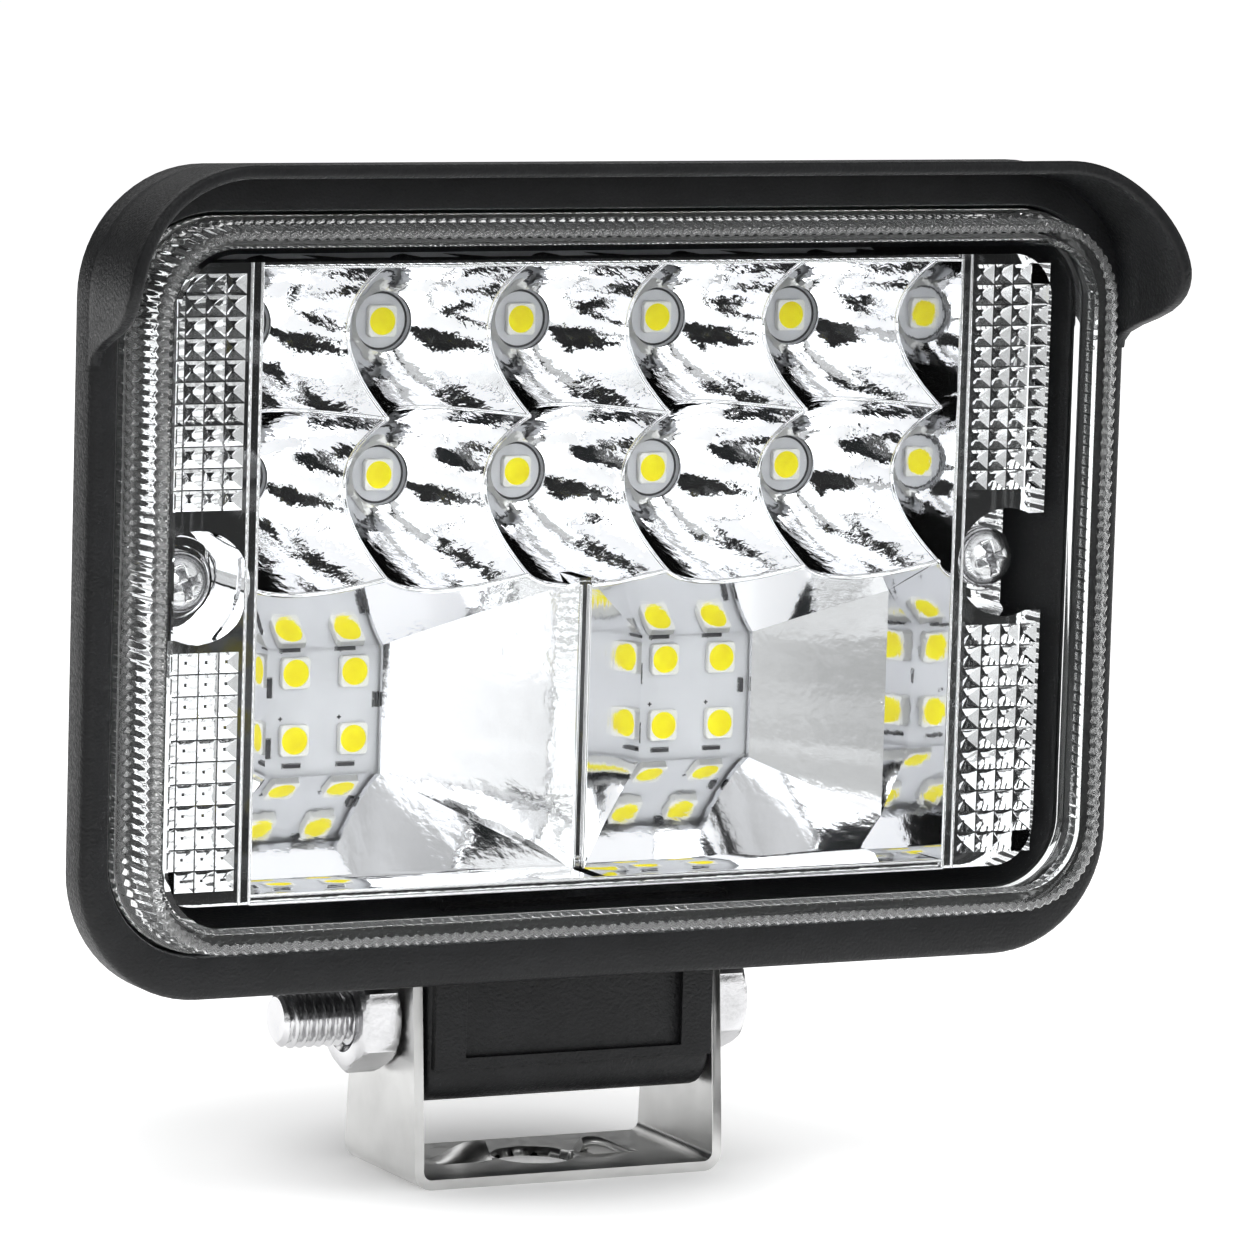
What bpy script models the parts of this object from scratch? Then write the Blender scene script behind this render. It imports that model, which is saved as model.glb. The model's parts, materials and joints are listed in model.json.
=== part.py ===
"""LED fog and work light on a U bracket, modelled piece by piece.

Units are metres.  +X is the lamp's left-to-right, -Y is the way it shines, +Z is up.
The origin is the middle of the bracket's base, on its underside.
"""
import math

import bmesh
import bpy
from mathutils import Matrix, Vector

for old in list(bpy.data.objects):
    bpy.data.objects.remove(old, do_unlink=True)

# ---------------------------------------------------------------- driving dimensions
MM = 0.001
GAP = 0.3 * MM                      # clearance between pieces that touch

# heights and depths of the main planes
LAMP_Z = 60.95 * MM                 # middle of the lamp face above the bracket's underside
AXIS_Z = 16.2 * MM                  # tilt bolt above the bracket's underside
RIM_FRONT = -15.6 * MM
RIM_BACK = -10.9 * MM
SEAT_Y = -12.6 * MM                 # ledge that carries the lens seal
FLOOR_Y = 11.7 * MM                 # inner face of the back wall
BACK_Y = 15.7 * MM                  # outer face of the back wall
FIN_BACK = 24.4 * MM
VISOR_FRONT = -27.0 * MM

# housing outlines: half width, half height, corner radius
RIM = (55.2 * MM, 39.45 * MM, 12.3 * MM)
BODY_FRONT = (52.9 * MM, 36.9 * MM, 10.5 * MM)
BODY_BACK = (42.0 * MM, 33.6 * MM, 8.0 * MM)
SEAT = (52.5 * MM, 35.2 * MM, 9.6 * MM)
CAVITY_FRONT = (49.9 * MM, 33.3 * MM, 7.6 * MM)
CAVITY_BACK = (41.4 * MM, 31.4 * MM, 5.6 * MM)
RIM_CHAMFER = 0.6 * MM
VISOR_WALL = 1.3 * MM
FIN_COUNT = 11
FIN_PITCH = 6.9 * MM
FIN_THICKNESS = 2.0 * MM
FIN_HALF_HEIGHT = 32.4 * MM
FIN_SLOPE = 5.0 * MM

# lens
LENS_FLANGE = (52.1 * MM, 34.8 * MM, 9.2 * MM)
LENS_BASE = (51.4 * MM, 34.5 * MM, 8.8 * MM)
LENS_FRONT = (51.1 * MM, 34.2 * MM, 8.4 * MM)
LENS_WALL = 1.8 * MM
LENS_FRONT_Y = -21.75 * MM
LENS_FLANGE_Y = -16.0 * MM
LENS_BACK_Y = -14.4 * MM

# light board and its light sources
PITCH = 15.0 * MM
LED_Y = 8.4 * MM
LED_THICKNESS = 0.7 * MM
LED_SIZE = (2.8 * MM, 3.3 * MM)
SPOT_ROWS = (22.4 * MM, 7.3 * MM)   # above the middle of the lamp
FLOOD_X = 20.2 * MM
FLOOD_Z = -15.4 * MM
FLOOD_STEP = 3.15 * MM
BOARD_Y = (9.2 * MM, 10.8 * MM)
PAD_Y = (11.0 * MM, 11.5 * MM)
BOARD_HALF = (41.0 * MM, 30.2 * MM, 4.8 * MM)
BOARD_SCREWS = [(side * x * MM, z * MM) for side in (-1, 1) for x, z in ((22.5, 14.85), (35.5, -26.3))]

# reflector
PANEL_Y = -13.3 * MM                # front plane of the prism panels
PANEL_HALF = (47.5 * MM, 30.5 * MM, 4.8 * MM)
PANEL_Z = -0.2 * MM
CELL_X = 37.4 * MM                  # inner side of the prism panels
CELL_TOP = 29.8 * MM
CELL_MID = -0.45 * MM               # between the spot cups and the flood cells
CELL_BOTTOM = -29.9 * MM
CUSP_Y = -9.6 * MM                  # points left standing between the spot cups
CUP_FOOT_Y = 8.2 * MM
CUP_HOLE = 3.3 * MM
DIVIDER_Y = -7.6 * MM
DIVIDER = 1.3 * MM
WINDOW_X = (14.2 * MM, 26.6 * MM)
WINDOW_Z = (-22.3 * MM, -9.5 * MM)
SHELL = 1.5 * MM

# reflector screws and their pockets
SCREW_X = 43.4 * MM
SCREW_Z = -0.3 * MM
POCKET_RADIUS = 5.4 * MM
POCKET_FLOOR = -8.1 * MM
NOTCH_X = 44.9 * MM                 # the pockets open towards the lamp's sides
NOTCH_HALF = 4.85 * MM
BOSS_RADIUS = 3.3 * MM
BOSS_BACK = 3.0 * MM
M3 = 1.5 * MM

# mounting
LUG_HALF = 15.3 * MM
LUG_RADIUS = 8.0 * MM
BOLT_RADIUS = 2.95 * MM
BOLT_LENGTH = 45.7 * MM
HEX_FLATS = 10.0 * MM
HEAD_HEIGHT = 4.0 * MM
NUT_HEIGHT = 4.2 * MM
SHEET = 1.0 * MM
BRACKET_HALF = 16.7 * MM
BRACKET_BASE_HALF = 8.3 * MM
BRACKET_TOP_HALF = 6.6 * MM
ARM_TOP = 6.8 * MM                  # arm ends above the bolt
ARM_CORNER = 8.0 * MM               # bevelled arm corners, measured from the bolt
BRACKET_HOLE = 4.2 * MM
TAB_X = 8.2 * MM
TAB_SIZE = (4.6 * MM, 3.4 * MM)

# back of the lamp
GLAND_X = 0.0
GLAND_Z = -20.5 * MM
GLAND_HOLE = 4.0 * MM
GLAND_BAY = 9.2 * MM
VENT_X = 27.6 * MM
VENT_Z = -20.5 * MM
VENT_HOLE = 2.6 * MM
VENT_BAY = 6.1 * MM

ROUND = 28                          # sides of a plain round piece

# ---------------------------------------------------------------- helpers
lamp_parts = bpy.data.collections.new("fog_light")
cutters = bpy.data.collections.new("cutters")
bpy.context.scene.collection.children.link(lamp_parts)
bpy.context.scene.collection.children.link(cutters)


def material(name, colour, roughness, metallic):
    """One Principled material."""
    mat = bpy.data.materials.new(name)
    mat.use_nodes = True
    shader = mat.node_tree.nodes["Principled BSDF"]
    shader.inputs["Base Color"].default_value = (*colour, 1.0)
    shader.inputs["Roughness"].default_value = roughness
    shader.inputs["Metallic"].default_value = metallic
    mat.diffuse_color = (*colour, 1.0)
    return mat


def piece(name, mesh, finish=None):
    """Put a mesh in the scene: a visible piece if it has a finish, else a cutter."""
    obj = bpy.data.objects.new(name, mesh)
    if finish is None:
        cutters.objects.link(obj)
        obj.hide_render = True
        obj.display_type = 'WIRE'
    else:
        lamp_parts.objects.link(obj)
        mesh.materials.clear()
        mesh.materials.append(material(name + "_finish", *finish))
    return obj


def mesh_from(bm, name):
    """Finish a bmesh as a mesh with its faces pointing out."""
    bmesh.ops.recalc_face_normals(bm, faces=bm.faces)
    mesh = bpy.data.meshes.new(name)
    bm.to_mesh(mesh)
    bm.free()
    return mesh


def box(name, x, y, z):
    """Box between the pairs x, y and z."""
    bm = bmesh.new()
    bmesh.ops.create_cube(bm, size=1.0)
    size = Vector((x[1] - x[0], y[1] - y[0], z[1] - z[0]))
    centre = Vector((sum(x), sum(y), sum(z))) / 2
    bmesh.ops.transform(bm, matrix=Matrix.Translation(centre) @ Matrix.Diagonal((*size, 1)), verts=bm.verts)
    return mesh_from(bm, name)


def rounded_prism(name, front, back, y, z=LAMP_Z, x=0.0, steps=6):
    """Prism along Y whose rounded-rectangle outline changes from front to back."""
    bm = bmesh.new()
    bmesh.ops.create_cube(bm, size=2.0)
    upright = [e for e in bm.edges if abs(e.verts[0].co.y - e.verts[1].co.y) > 1]
    unit = 0.2
    bmesh.ops.bevel(bm, geom=upright, offset=unit, segments=steps, affect='EDGES', profile=0.5)
    for vert in bm.verts:
        half_w, half_h, radius = front if vert.co.y < 0 else back
        corner_x, corner_z = 1 - unit, 1 - unit
        over_x = max(abs(vert.co.x) - corner_x, 0) / unit
        over_z = max(abs(vert.co.z) - corner_z, 0) / unit
        new_x = math.copysign(half_w - radius + over_x * radius, vert.co.x)
        new_z = math.copysign(half_h - radius + over_z * radius, vert.co.z)
        vert.co = (x + new_x, y[0] if vert.co.y < 0 else y[1], z + new_z)
    return mesh_from(bm, name)


def rod(name, start, axis, length, radius, end_radius=None, sides=ROUND, turn=0.0):
    """Cylinder, cone or hexagon from a start point along 'X', 'Y' or 'Z'."""
    bm = bmesh.new()
    end = radius if end_radius is None else end_radius
    bmesh.ops.create_cone(bm, cap_ends=True, segments=sides, radius1=radius, radius2=end, depth=length)
    to_axis = {
        'X': Matrix.Rotation(math.pi / 2, 4, 'Y'),
        'Y': Matrix.Rotation(-math.pi / 2, 4, 'X'),
        'Z': Matrix.Identity(4),
    }[axis]
    lift = Matrix.Translation((0, 0, length / 2))
    spin = Matrix.Rotation(turn, 4, 'Z')
    bmesh.ops.transform(bm, matrix=Matrix.Translation(start) @ to_axis @ lift @ spin, verts=bm.verts)
    return mesh_from(bm, name)


def turned(name, profile, place, sides=ROUND, finish=None):
    """Turn (radius, height) points about local Z with a Screw modifier, then place the piece."""
    mesh = bpy.data.meshes.new(name)
    points = [(radius, 0.0, height) for radius, height in profile]
    mesh.from_pydata(points, [(i, i + 1) for i in range(len(points) - 1)], [])
    obj = piece(name, mesh, finish)
    obj.matrix_local = place
    screw = obj.modifiers.new("turn", 'SCREW')
    screw.steps = sides
    screw.render_steps = sides
    screw.use_merge_vertices = True
    screw.merge_threshold = 0.00001
    screw.use_smooth_shade = True
    return obj


def boolean(target, other, operation='DIFFERENCE'):
    """Cut or join with the exact solver."""
    change = target.modifiers.new(other.name, 'BOOLEAN')
    change.operation = operation
    change.object = other
    change.solver = 'EXACT'


def cut(target, name, mesh):
    """Cut a mesh out of a piece."""
    boolean(target, piece(name, mesh))


def join(target, name, mesh):
    """Fuse a mesh onto a piece."""
    boolean(target, piece(name, mesh), 'UNION')


def along(axis, place):
    """Matrix that lays a turned piece's Z axis along X or Y and moves it to a place."""
    turn = {'X': Matrix.Rotation(math.pi / 2, 4, 'Y'), 'Y': Matrix.Rotation(-math.pi / 2, 4, 'X')}[axis]
    return Matrix.Translation(place) @ turn


def prism_along_x(name, outline, x):
    """Straight solid between two X values with an outline of (y, z) points."""
    bm = bmesh.new()
    face = bm.faces.new([bm.verts.new((x[0], y, z)) for y, z in outline])
    grown = bmesh.ops.extrude_face_region(bm, geom=[face])
    moved = [item for item in grown["geom"] if isinstance(item, bmesh.types.BMVert)]
    bmesh.ops.translate(bm, vec=(x[1] - x[0], 0, 0), verts=moved)
    return mesh_from(bm, name)


def loft(name, near, far):
    """Closed solid between two rectangles, each (x pair, z pair, y)."""
    bm = bmesh.new()
    rings = []
    for x, z, y in (near, far):
        corners = [(x[0], z[0]), (x[1], z[0]), (x[1], z[1]), (x[0], z[1])]
        rings.append([bm.verts.new((cx, y, LAMP_Z + cz)) for cx, cz in corners])
    bm.faces.new(rings[0])
    bm.faces.new(list(reversed(rings[1])))
    for i in range(4):
        j = (i + 1) % 4
        bm.faces.new([rings[0][i], rings[1][i], rings[1][j], rings[0][j]])
    return mesh_from(bm, name)


# ---------------------------------------------------------------- frame of the two bodies
# The lamp turns about X through this empty; the bracket, bolt and nut stay still.
tilt_axis = bpy.data.objects.new("lamp_tilt_axis", None)
lamp_parts.objects.link(tilt_axis)
tilt_axis.location = (0, 0, AXIS_Z)
bpy.context.view_layer.update()


def on_lamp(obj):
    """Hang a piece on the tilt axis without moving it."""
    obj.parent = tilt_axis
    obj.matrix_parent_inverse = Matrix.Translation((0, 0, -AXIS_Z))
    return obj


# ---------------------------------------------------------------- finishes: colour, roughness, metallic
POWDER = ((0.018, 0.019, 0.021), 0.55, 0.0)
CLEAR = ((0.86, 0.88, 0.9), 0.05, 0.0)
SILICONE = ((0.01, 0.01, 0.01), 0.7, 0.0)
CHROME = ((0.9, 0.9, 0.92), 0.06, 1.0)
BOARD = ((0.62, 0.63, 0.65), 0.4, 0.0)
PAD = ((0.45, 0.55, 0.66), 0.8, 0.0)
EMITTER = ((0.9, 0.8, 0.08), 0.4, 0.0)
STEEL = ((0.62, 0.62, 0.62), 0.28, 1.0)
SHEET_STEEL = ((0.6, 0.6, 0.6), 0.32, 1.0)
BLACK_PART = ((0.02, 0.02, 0.02), 0.45, 0.0)
CAN = ((0.75, 0.75, 0.77), 0.3, 1.0)
RUBBER = ((0.015, 0.015, 0.015), 0.8, 0.0)
RED_WIRE = ((0.5, 0.02, 0.02), 0.5, 0.0)
BLACK_WIRE = ((0.02, 0.02, 0.02), 0.5, 0.0)


# ---------------------------------------------------------------- housing
def visor_edge(t):
    """Lower edge of the visor's cheeks: one cubic curve from the rim to the front corner."""
    points = ((-15.6, 21.2), (-16.0, 24.4), (-26.4, 23.6), (-27.0, 29.6))
    weights = ((1 - t) ** 3, 3 * t * (1 - t) ** 2, 3 * t * t * (1 - t), t ** 3)
    y = sum(w * p[0] for w, p in zip(weights, points)) * MM
    z = sum(w * p[1] for w, p in zip(weights, points)) * MM
    return y, LAMP_Z + z


def add_visor():
    """Peak over the lens: the rim's upper outline carried forward, with curved cheeks."""
    inner = tuple(size - VISOR_WALL for size in RIM)
    root = RIM_FRONT + 0.5 * MM
    visor = piece("visor", rounded_prism("visor", RIM, RIM, (VISOR_FRONT, root), steps=8))
    beyond = VISOR_FRONT - 1 * MM
    cut(visor, "visor_inside", rounded_prism("visor_inside", inner, inner, (beyond, root + 1 * MM), steps=8))
    low = RIM_FRONT + 2 * MM
    edge = [visor_edge(i / 12) for i in range(13)]
    outline = [(low, edge[0][1])] + edge + [(beyond, edge[-1][1]), (beyond, 0.0), (low, 0.0)]
    cut(visor, "visor_trim", prism_along_x("visor_trim", outline, (-60 * MM, 60 * MM)))
    return visor


def fin_mesh(name, x):
    """One cooling fin, its two ends sloping down to the back wall."""
    root, tip = BACK_Y - 1 * MM, FIN_BACK
    high, low = FIN_HALF_HEIGHT, FIN_HALF_HEIGHT - FIN_SLOPE
    foot = BACK_Y + 1 * MM
    outline = [(root, -high), (foot, -high), (tip, -low), (tip, low), (foot, high), (root, high)]
    outline = [(y, LAMP_Z + z) for y, z in outline]
    return prism_along_x(name, outline, (x - FIN_THICKNESS / 2, x + FIN_THICKNESS / 2))


def add_housing():
    """Die-cast shell with its rim, visor, fins, screw bosses and mounting lug."""
    mesh = rounded_prism("housing", RIM, RIM, (RIM_FRONT, RIM_BACK), steps=8)
    bm = bmesh.new()
    bm.from_mesh(mesh)
    front_edges = [e for e in bm.edges if all(abs(v.co.y - RIM_FRONT) < 1e-6 for v in e.verts)]
    bmesh.ops.bevel(bm, geom=front_edges, offset=RIM_CHAMFER, segments=1, affect='EDGES')
    bm.to_mesh(mesh)
    bm.free()
    housing = on_lamp(piece("housing", mesh, POWDER))
    body = rounded_prism("body", BODY_FRONT, BODY_BACK, (RIM_BACK - 1 * MM, BACK_Y))
    join(housing, "body", body)
    boolean(housing, add_visor(), 'UNION')
    join(housing, "lug_barrel", rod("lug_barrel", (-LUG_HALF, 0, AXIS_Z), 'X', 2 * LUG_HALF, LUG_RADIUS))
    neck_top = LAMP_Z - BODY_BACK[1] + 2 * MM
    neck = box("lug_neck", (-LUG_HALF, LUG_HALF), (-LUG_RADIUS + 0.01 * MM, LUG_RADIUS - 0.01 * MM),
               (AXIS_Z, neck_top))
    join(housing, "lug_neck", neck)
    for i in range(FIN_COUNT):
        name = "fin_%d" % (i + 1)
        join(housing, name, fin_mesh(name, (i - (FIN_COUNT - 1) / 2) * FIN_PITCH))
    for name, x, z, radius in (("gland", GLAND_X, GLAND_Z, GLAND_BAY), ("vent", VENT_X, VENT_Z, VENT_BAY)):
        start = (x, BACK_Y, LAMP_Z + z)
        cut(housing, name + "_clearing", rod(name + "_clearing", start, 'Y', 12 * MM, radius))
        bay = box(name + "_bay", (x - radius, x + radius), (BACK_Y, FIN_BACK + 1 * MM),
                  (LAMP_Z - FIN_HALF_HEIGHT - 1 * MM, LAMP_Z + z))
        cut(housing, name + "_bay", bay)
    cut(housing, "lens_seat", rounded_prism("lens_seat", SEAT, SEAT, (RIM_FRONT - 1 * MM, SEAT_Y)))
    cavity = rounded_prism("cavity", CAVITY_FRONT, CAVITY_BACK, (SEAT_Y - 0.5 * MM, FLOOR_Y))
    cut(housing, "cavity", cavity)
    for side, word in ((-1, "left"), (1, "right")):
        place = (side * SCREW_X, BOSS_BACK, LAMP_Z + SCREW_Z)
        height = BOSS_BACK - (POCKET_FLOOR + SHELL + GAP)
        boss = rod("boss_" + word, place, 'Y', -height, BOSS_RADIUS, sides=16)
        join(housing, "boss_" + word, boss)
        depth = BOSS_BACK - 0.8 * MM - POCKET_FLOOR
        drill = rod("boss_hole_" + word, (place[0], POCKET_FLOOR, place[2]), 'Y', depth, M3 + GAP, sides=12)
        cut(housing, "boss_hole_" + word, drill)
    hole = rod("axis_hole", (-20 * MM, 0, AXIS_Z), 'X', 40 * MM, BOLT_RADIUS + 0.35 * MM, sides=24)
    cut(housing, "axis_hole", hole)
    for name, x, z, radius in (("gland", GLAND_X, GLAND_Z, GLAND_HOLE), ("vent", VENT_X, VENT_Z, VENT_HOLE)):
        start = (x, FLOOR_Y - 2 * MM, LAMP_Z + z)
        cut(housing, name + "_hole", rod(name + "_hole", start, 'Y', 12 * MM, radius, sides=20))
    for i, (x, z) in enumerate(BOARD_SCREWS):
        start = (x, FLOOR_Y - 1 * MM, LAMP_Z + z)
        name = "board_screw_hole_%d" % (i + 1)
        cut(housing, name, rod(name, start, 'Y', 4 * MM, 1.6 * MM, sides=10))


# ---------------------------------------------------------------- lens and seal
def add_lens():
    """Clear cover: a shallow tray, open at the back, with a flange in the rim's seat."""
    mesh = rounded_prism("lens", LENS_FRONT, LENS_BASE, (LENS_FRONT_Y, LENS_FLANGE_Y + 0.5 * MM))
    lens = on_lamp(piece("lens", mesh, CLEAR))
    flange = rounded_prism("lens_flange", LENS_FLANGE, LENS_FLANGE, (LENS_FLANGE_Y, LENS_BACK_Y))
    join(lens, "lens_flange", flange)
    inner_front = tuple(size - LENS_WALL for size in LENS_FRONT)
    inner_back = tuple(size - LENS_WALL for size in LENS_BASE)
    hollow = (LENS_FRONT_Y + LENS_WALL, LENS_BACK_Y + 1 * MM)
    cut(lens, "lens_hollow", rounded_prism("lens_hollow", inner_front, inner_back, hollow))


def add_seal():
    """Silicone ring between the lens flange and the housing's ledge."""
    outer = tuple(size - 0.4 * MM for size in SEAT)
    inner = tuple(size - 2.3 * MM for size in SEAT)
    depth = (LENS_BACK_Y + GAP, SEAT_Y - GAP)
    seal = on_lamp(piece("lens_seal", rounded_prism("lens_seal", outer, outer, depth), SILICONE))
    beyond = (depth[0] - 1 * MM, depth[1] + 1 * MM)
    cut(seal, "seal_inside", rounded_prism("seal_inside", inner, inner, beyond))


# ---------------------------------------------------------------- reflector
def cup_profile():
    """Spot cup, a paraboloid from the wide mouth down to its hole (outer side first)."""
    mouth = 10.65 * MM
    deep = CUP_FOOT_Y - CUSP_Y
    rings = 5
    profile = [(0.0, deep + 2 * MM)]
    for i in range(rings + 1):
        share = 1.12 - i * 1.12 / rings
        radius = math.sqrt(CUP_HOLE ** 2 + (mouth ** 2 - CUP_HOLE ** 2) * share)
        profile.append((radius, deep * share))
    profile[0] = (0.0, profile[1][1])
    profile.append((CUP_HOLE, -3 * MM))
    profile.append((0.0, -3 * MM))
    return profile


def add_reflector():
    """Mirror-coated moulding: ten spot cups above, two flood cells below, prism panels beside."""
    outline = rounded_prism("reflector", PANEL_HALF, PANEL_HALF, (PANEL_Y, PANEL_Y + SHELL), LAMP_Z + PANEL_Z)
    reflector = on_lamp(piece("reflector", outline, CHROME))
    back = LED_Y + 0.3 * MM
    block = box("spot_block", (-CELL_X - SHELL, CELL_X + SHELL), (PANEL_Y + 0.2 * MM, back),
                (LAMP_Z - 4.5 * MM, LAMP_Z + PANEL_HALF[1] + PANEL_Z))
    join(reflector, "spot_block", block)
    for side, word in ((-1, "left"), (1, "right")):
        window = sorted((side * WINDOW_X[0], side * WINDOW_X[1]))
        cell = sorted((side * DIVIDER / 2, side * CELL_X))
        wide = (window[0] - SHELL, window[1] + SHELL)
        tall = (WINDOW_Z[0] - SHELL, WINDOW_Z[1] + SHELL)
        shell_x = (cell[0] - SHELL, cell[1] + SHELL)
        near = (shell_x, (CELL_BOTTOM - 0.7 * MM, CELL_MID), DIVIDER_Y - 2 * MM)
        join(reflector, "cell_shell_" + word, loft("cell_shell_" + word, near, (wide, tall, back)))
        walls = box("cell_wall_" + word, shell_x, (PANEL_Y + 0.3 * MM, DIVIDER_Y - 1.9 * MM),
                    (LAMP_Z + CELL_BOTTOM - 0.7 * MM, LAMP_Z + CELL_MID))
        join(reflector, "cell_wall_" + word, walls)
        pocket = (side * SCREW_X, PANEL_Y + 0.2 * MM, LAMP_Z + SCREW_Z)
        length = POCKET_FLOOR + SHELL - pocket[1]
        tube = rod("pocket_" + word, pocket, 'Y', length, POCKET_RADIUS + 1.2 * MM)
        join(reflector, "pocket_" + word, tube)
    for i in range(6):
        for j, z in enumerate((CELL_TOP + 0.05 * MM, 14.85 * MM, CELL_MID - 0.1 * MM)):
            x = (i - 2.5) * PITCH
            name = "core_%d_%d" % (i + 1, j + 1)
            core = rod(name, (x, back + 1 * MM, LAMP_Z + z), 'Y', -9.5 * MM, 5.5 * MM, 1.4 * MM, sides=10)
            cut(reflector, name, core)
    mouth = box("spot_mouth", (-CELL_X, CELL_X), (PANEL_Y - 2 * MM, CUSP_Y),
                (LAMP_Z + CELL_MID - 0.01 * MM, LAMP_Z + CELL_TOP))
    cut(reflector, "spot_mouth", mouth)
    lower = box("flood_mouth", (-CELL_X, CELL_X), (PANEL_Y - 1.9 * MM, DIVIDER_Y),
                (LAMP_Z + CELL_BOTTOM, LAMP_Z + CELL_MID))
    cut(reflector, "flood_mouth", lower)
    for row, z in enumerate(SPOT_ROWS):
        for column in range(5):
            foot = ((column - 2) * PITCH, CUP_FOOT_Y, LAMP_Z + z)
            place = along('Y', foot) @ Matrix.Rotation(math.pi, 4, 'X')
            cup = turned("cup_%d_%d" % (row + 1, column + 1), cup_profile(), place, sides=20)
            boolean(reflector, cup)
    for side, word in ((-1, "left"), (1, "right")):
        window = sorted((side * WINDOW_X[0], side * WINDOW_X[1]))
        cell = sorted((side * DIVIDER / 2, side * CELL_X))
        near = (cell, (CELL_BOTTOM, CELL_MID), DIVIDER_Y)
        far = (window, WINDOW_Z, back + 0.01 * MM)
        cut(reflector, "cell_" + word, loft("cell_" + word, near, far))
        window_box = box("window_" + word, window, (back - 1 * MM, back + 1 * MM),
                         (LAMP_Z + WINDOW_Z[0], LAMP_Z + WINDOW_Z[1]))
        cut(reflector, "window_" + word, window_box)
        pocket = (side * SCREW_X, PANEL_Y - 1 * MM, LAMP_Z + SCREW_Z)
        length = POCKET_FLOOR - pocket[1]
        hollow = rod("pocket_hollow_" + word, pocket, 'Y', length, POCKET_RADIUS)
        cut(reflector, "pocket_hollow_" + word, hollow)
        drill = rod("pocket_hole_" + word, pocket, 'Y', 10 * MM, M3 + GAP, sides=12)
        cut(reflector, "pocket_hole_" + word, drill)
        for name, start_x, half_z, back_y in (("notch", NOTCH_X, NOTCH_HALF, POCKET_FLOOR),
                                              ("trim", PANEL_HALF[0], 9 * MM, POCKET_FLOOR + 3 * MM)):
            reach = sorted((side * start_x, side * 54 * MM))
            middle = LAMP_Z + SCREW_Z
            opening = box(name, reach, (PANEL_Y - 1 * MM, back_y), (middle - half_z, middle + half_z))
            cut(reflector, "pocket_%s_%s" % (name, word), opening)


# ---------------------------------------------------------------- light board
def add_board():
    """Aluminium circuit board and the pad that carries its heat to the housing."""
    for name, depth, finish in (("led_board", BOARD_Y, BOARD), ("thermal_pad", PAD_Y, PAD)):
        plate = on_lamp(piece(name, rounded_prism(name, BOARD_HALF, BOARD_HALF, depth, steps=4), finish))
        for i, (sx, sz) in enumerate(BOARD_SCREWS):
            hole = name + "_hole_%d" % (i + 1)
            start = (sx, depth[0] - 1 * MM, LAMP_Z + sz)
            cut(plate, hole, rod(hole, start, 'Y', 4 * MM, 1.6 * MM, sides=12))
        wires = name + "_wire_hole"
        start = (GLAND_X, depth[0] - 1 * MM, LAMP_Z + GLAND_Z)
        cut(plate, wires, rod(wires, start, 'Y', 4 * MM, 3.2 * MM, sides=20))


def add_led(name, x, z):
    """One light source: a flat package on the board."""
    half_x, half_z = LED_SIZE[0] / 2, LED_SIZE[1] / 2
    depth = (LED_Y, LED_Y + LED_THICKNESS)
    mesh = box(name, (x - half_x, x + half_x), depth, (LAMP_Z + z - half_z, LAMP_Z + z + half_z))
    on_lamp(piece(name, mesh, EMITTER))


def add_leds():
    """Ten spot sources in the cups and two groups of four flood sources."""
    count = 0
    for z in SPOT_ROWS:
        for column in range(5):
            count += 1
            add_led("spot_led_%d" % count, (column - 2) * PITCH, z)
    count = 0
    for side in (-1, 1):
        for dz in (1, -1):
            for dx in (-1, 1):
                count += 1
                x = side * FLOOD_X + dx * FLOOD_STEP
                add_led("flood_led_%d" % count, x, FLOOD_Z + dz * FLOOD_STEP * 1.06)


def add_screw(name, x, z, head_y, shank, head_radius=3.0 * MM, head=2.2 * MM, radius=M3):
    """Pan-head screw with a cross recess, driven along +Y."""
    rim = 0.6 * MM
    profile = [
        (0.0, head), (head_radius * 0.55, head * 0.94), (head_radius * 0.88, head * 0.66),
        (head_radius, rim * 0.5), (head_radius, 0.0), (radius, 0.0), (radius, -shank + rim),
        (radius - rim * 0.8, -shank), (0.0, -shank),
    ]
    place = Matrix.Translation((x, head_y, LAMP_Z + z)) @ Matrix.Rotation(math.pi / 2, 4, 'X')
    screw = turned(name, profile, place, sides=16, finish=STEEL)
    on_lamp(screw)
    screw.matrix_world = place
    for i in range(2):
        long, short = 1.6 * MM, 0.35 * MM
        half = (long, short) if i == 0 else (short, long)
        slot = box("slot", (x - half[0], x + half[0]), (head_y - head - 1 * MM, head_y - head * 0.45),
                   (LAMP_Z + z - half[1], LAMP_Z + z + half[1]))
        cut(screw, name + "_slot_%d" % (i + 1), slot)


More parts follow.
